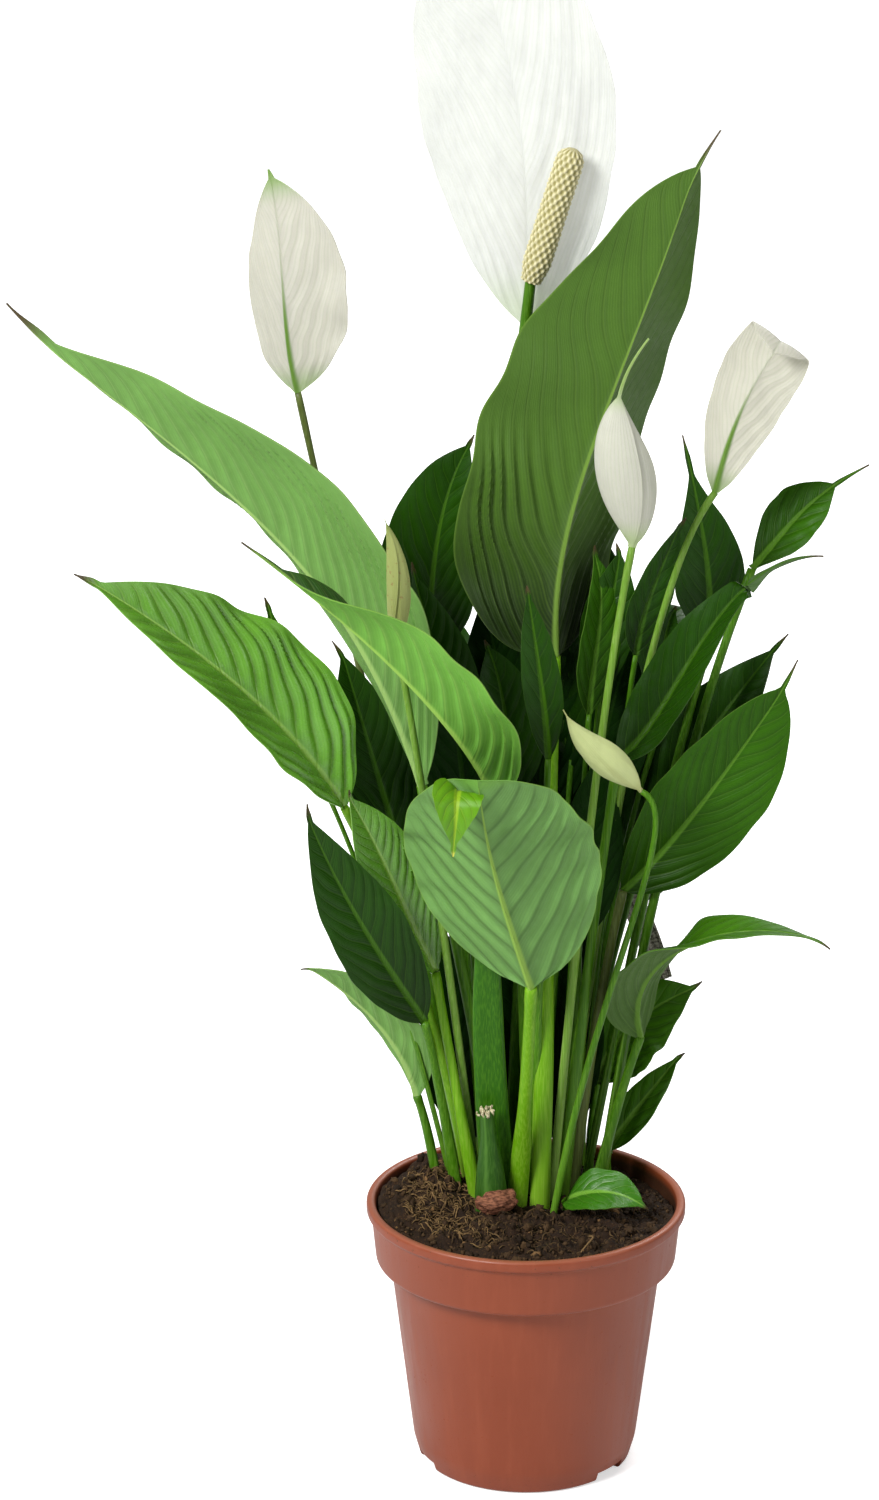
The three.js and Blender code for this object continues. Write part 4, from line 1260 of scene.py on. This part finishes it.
def soil_surface(name, dark, light):
    surface = Surface(name, Specular_IOR_Level=0.25)
    lumps = surface.noise(4.5, 4)
    grain = surface.noise(0.7, 4)
    colour = surface.mix(surface.band(lumps, 0.3, 0.7), shade(dark, 0.5), dark)
    colour = surface.mix(surface.band(grain, 0.52, 0.75, 0.0, 0.7), colour, light)
    height = surface.calc("MULTIPLY_ADD", grain, 0.6, lumps)
    return surface.finish(colour, surface.band(grain, 0.3, 0.7, 0.8, 0.95), height, 0.6)


def tone_surface(name, dark, light):
    """Crumbs and fibres, each from dark to light as its own tone says."""
    surface = Surface(name, Specular_IOR_Level=0.25)
    tone = surface.attribute("tone", "Fac")
    grain = surface.noise(0.6, 3)
    colour = surface.mix(surface.calc("MULTIPLY", tone, 1.0, clamp=True), dark, light)
    colour = surface.mix(surface.band(grain, 0.4, 0.7, 0.0, 0.5), colour, shade(dark, 0.6))
    return surface.finish(colour, surface.band(grain, 0.3, 0.7, 0.75, 0.95), grain, 0.2)


def bark_surface(name, dark, light):
    surface = Surface(name, Specular_IOR_Level=0.25)
    grain = surface.noise(0.8, 4, (0.35, 1, 1))
    colour = surface.mix(surface.band(grain, 0.35, 0.65), dark, light)
    return surface.finish(colour, surface.band(grain, 0.3, 0.7, 0.7, 0.9), grain, 0.4)


# The colours were tuned against tones sampled from the photo.
# The upper greens are one leaf green at several brightnesses: the bright look is painted light for leaves in
# the light, and the dark and deep looks are painted shade for leaves inside the plant, as is the darkening at
# the neck that foot sets.
LEAF_LOOKS = {
    "bright": leaf_surface("leaf_bright", (0.12, 0.34, 0.02), (0.16, 0.36, 0.06), (0.28, 0.5, 0.07), 0.24,
                           groove=0.34, specular=0.65, foot=0.0),
    "fresh": leaf_surface("leaf_fresh", (0.02, 0.1, 0.002), (0.16, 0.42, 0.05), (0.36, 0.6, 0.1), 0.34,
                          groove=0.5, foot=0.0),
    "middle": leaf_surface("leaf_middle", (0.026, 0.105, 0.001), (0.1, 0.14, 0.04), (0.1, 0.24, 0.02), 0.36,
                           specular=0.1),
    "dark": leaf_surface("leaf_dark", (0.012, 0.056, 0.0005), (0.055, 0.11, 0.03), (0.05, 0.14, 0.006),
                         0.34, specular=0.16),
    "deep": leaf_surface("leaf_deep", (0.005, 0.03, 0.0005), (0.02, 0.05, 0.004), (0.02, 0.07, 0.004), 0.45,
                         specular=0.08),
    "pale": leaf_surface("leaf_pale", (0.03, 0.12, 0.004), (0.155, 0.34, 0.07), (0.36, 0.55, 0.16), 0.42,
                         pale_vein=0.15, groove=0.4, foot=0.1),
    # The grey look's dark vein lines are painted shade in its sunken veins.
    "grey": leaf_surface("leaf_grey", (0.06, 0.2, 0.008), (0.14, 0.31, 0.075), (0.28, 0.46, 0.06), 0.42,
                         pale_vein=0.6, groove=0.45, foot=0.0, line=(0.05, 0.12, 0.02),
                         tip=(0.14, 0.32, 0.05)),
    "tip": leaf_surface("leaf_tip", (0.1, 0.28, 0.004), (0.16, 0.33, 0.06), (0.3, 0.46, 0.02), 0.35,
                        groove=0.3, foot=0.0, tip=(0.55, 0.55, 0.08)),
    "lively": leaf_surface("leaf_lively", (0.035, 0.16, 0.004), (0.12, 0.28, 0.04), (0.2, 0.42, 0.05), 0.3,
                           groove=0.25, specular=0.3, foot=0.0),
    "plain": leaf_surface("leaf_plain", (0.042, 0.15, 0.002), (0.075, 0.155, 0.03), (0.14, 0.3, 0.03), 0.34,
                          specular=0.2, foot=0.1),
    "olive": leaf_surface("leaf_olive", (0.03, 0.1, 0.005), (0.06, 0.14, 0.012), (0.18, 0.32, 0.04), 0.34,
                          pale_vein=0.1, groove=0.36, specular=0.25, foot=0.9, shaded_foot_end=0.36),
}
LOOK_SLOTS = dict.fromkeys(("bright", "middle", "lively", "plain"), "leaf_green")
LOOK_SLOTS.update(dict.fromkeys(("fresh", "pale", "tip", "grey"), "leaf_pale_green"))
LOOK_SLOTS.update(dict.fromkeys(("dark", "deep", "olive"), "leaf_dark_green"))
SPATHE_LOOKS = {
    # The glow of every spathe is painted light; the clear one glows most.
    "clear": (
        spathe_surface("spathe_clear", (0.45, 0.46, 0.44), (0.32, 0.38, 0.24), 0.05, glow=0.75, streak=0.3),
        "spathe_white"),
    "spathe": (
        spathe_surface("spathe_white", (0.46, 0.46, 0.39), (0.24, 0.38, 0.08), 0.3, glow=0.25,
                       tip_from=0.66), "spathe_white"),
    "backed": (
        spathe_surface("spathe_backed", (0.45, 0.44, 0.38), (0.12, 0.24, 0.03), 1.0, glow=0.27),
        "spathe_white"),
    "lipped": (
        spathe_surface(
            "spathe_lipped", (0.47, 0.46, 0.39), (0.12, 0.24, 0.03), 1.0, glow=0.27, tip_from=2.0
        ),
        "spathe_white"),
    "bud": (
        spathe_surface("spathe_cream", (0.5, 0.56, 0.25), (0.34, 0.36, 0.12), 0.3, glow=0.2), "bud_cream"
    ),
    "withered": (
        spathe_surface("spathe_withered", (0.33, 0.37, 0.12), (0.2, 0.28, 0.05), 0.3, 0.6), "bud_cream"
    ),
}
STALK_LOOKS = {
    "bright": stalk_surface("stalk_bright", (0.12, 0.31, 0.003), (0.34, 0.54, 0.06)),
    "mid": stalk_surface("stalk_mid", (0.05, 0.16, 0.002), (0.2, 0.4, 0.04)),
    "deep": stalk_surface("stalk_deep", (0.022, 0.11, 0.001), (0.14, 0.36, 0.02), 0.25),
    "olive": stalk_surface("stalk_olive", (0.09, 0.12, 0.025), (0.22, 0.28, 0.09)),
    "flower": stalk_surface("stalk_flower", (0.13, 0.27, 0.025), (0.36, 0.5, 0.15)),
}
stub_skin = stalk_surface("stub_skin", (0.02, 0.08, 0.004), (0.09, 0.22, 0.03))

# ---- the plant ----

for plan in LEAVES + YOUNG_LEAVES:
    slot_name = LOOK_SLOTS[plan.look]
    young = plan in YOUNG_LEAVES
    node = () if young else ("leaf_" + plan.name,)
    stalk_node = () if young or plan.whole else ("leaf_stalk_" + plan.name,)
    add_blade(plan, "blade_" + plan.name, LEAF_LOOKS[plan.look], slot_name, node)
    stalk_skin = STALK_LOOKS[plan.stalk_look]
    add_stalk(plan, "petiole_" + plan.name, stalk_skin, stalk_node)

add_blade(FRONT_TIP, "blade_front_tip", LEAF_LOOKS["tip"], "leaf_pale_green")

for plan in FLOWERS:
    skin, slot_name = SPATHE_LOOKS[plan.look]
    make = add_rolled_spathe if plan.depth else add_blade
    make(plan, "flower_" + plan.name, skin, slot_name, ("spathe_" + plan.name,))
    stalk_skin = STALK_LOOKS[plan.stalk_look]
    add_stalk(plan, "scape_" + plan.name, stalk_skin, ("flower_stalk_" + plan.name,))

spadix_skin = spadix_surface()
for plan in FLOWERS:
    if plan.spadix:
        add_spadix(*plan.spadix, "florets_" + plan.name, spadix_skin, ("spadix_" + plan.name,))

add_stipe(STIPE_FOOT, STIPE_TIP, STALK_LOOKS["mid"])
add_pot(pot_surface())
add_soil(soil_surface("soil_peat", (0.024, 0.011, 0.004), (0.1, 0.052, 0.02)))
crumb_skin = tone_surface("soil_crumbs", (0.016, 0.008, 0.003), (0.24, 0.13, 0.05))
fibre_skin = tone_surface("soil_fibres", (0.028, 0.015, 0.005), (0.25, 0.15, 0.06))
add_crumbs(crumb_skin)
add_fibres(fibre_skin)
add_white_root(fibre_skin)
add_chip(bark_surface("bark", (0.09, 0.03, 0.015), (0.3, 0.12, 0.065)))
add_stub(stub_skin, bark_surface("torn_fibre", (0.3, 0.25, 0.12), (0.68, 0.62, 0.42)))
add_dry_strip(bark_surface("dry_leaf", (0.06, 0.055, 0.04), (0.26, 0.25, 0.2)))

# ---- floor, light and camera ----

FLOOR_SIZE = 24.0
FLOOR_GAP = 0.0002
WORLD_STRENGTH = 0.27
# The camera was fitted to the photo.
LENS = 117.7
SENSOR_WIDTH = 36
CAMERA_PLACE = (-0.0325, -1.70, 0.8375)
CAMERA_DROP = 18.15


def add_floor():
    mesh = bpy.data.meshes.new("floor")
    reach = FLOOR_SIZE / 2
    z = cad_low.z - FLOOR_GAP
    mesh.from_pydata([(-reach, -reach, z), (reach, -reach, z), (reach, reach, z), (-reach, reach, z)], [],
                     [(0, 1, 2, 3)])
    floor = bpy.data.objects.new("floor", mesh)
    bpy.context.scene.collection.objects.link(floor)
    surface = Surface("floor_paper", Emission_Color=(1, 1, 1, 1))
    seen = surface.tree.nodes.new("ShaderNodeLightPath").outputs["Is Camera Ray"]
    x, y, _ = surface.split(surface.place())
    distance = surface.from_axis(x, y)
    glow = surface.band(distance, 60.0, 600.0, 0.55, 0.85)
    surface.put(surface.calc("MULTIPLY", seen, glow), surface.shader.inputs["Emission Strength"])
    grain = surface.noise(3, 3)
    colour = surface.mix(grain, (0.78, 0.78, 0.78), (0.82, 0.82, 0.82))
    mesh.materials.append(surface.finish(colour, 0.9, grain, 0.02))


def add_softbox(name, place, target, size, power):
    light = bpy.data.lights.new(name, "AREA")
    light.shape = "DISK"
    light.size = size
    light.energy = power
    holder = bpy.data.objects.new(name, light)
    holder.location = place
    holder.rotation_euler = (Vector(target) - Vector(place)).to_track_quat("-Z", "Y").to_euler()
    bpy.context.scene.collection.objects.link(holder)


def add_world(strength):
    world = bpy.data.worlds.new("studio")
    world.use_nodes = True
    background = world.node_tree.nodes["Background"]
    background.inputs["Color"].default_value = (1, 1, 1, 1)
    background.inputs["Strength"].default_value = strength
    bpy.context.scene.world = world


middle_height = (cad_low.z + cad_high.z) / 2
add_floor()
add_world(WORLD_STRENGTH)
middle_of_plant = (0, 0, middle_height)
add_softbox("key", (-1.2, -1.2, 1.6), middle_of_plant, size=0.8, power=56)
add_softbox("fill", (1.4, -1.2, 0.9), middle_of_plant, size=1.2, power=8)
add_softbox("back", (0.5, 1.3, 1.6), middle_of_plant, size=1.0, power=20)

camera_data = bpy.data.cameras.new("camera")
camera_data.lens = LENS
camera_data.sensor_width = SENSOR_WIDTH
camera = bpy.data.objects.new("camera", camera_data)
camera.location = CAMERA_PLACE
camera.rotation_euler = (math.radians(90 - CAMERA_DROP), 0, 0)
bpy.context.scene.collection.objects.link(camera)
bpy.context.scene.camera = camera
bpy.context.scene.view_settings.view_transform = "Standard"
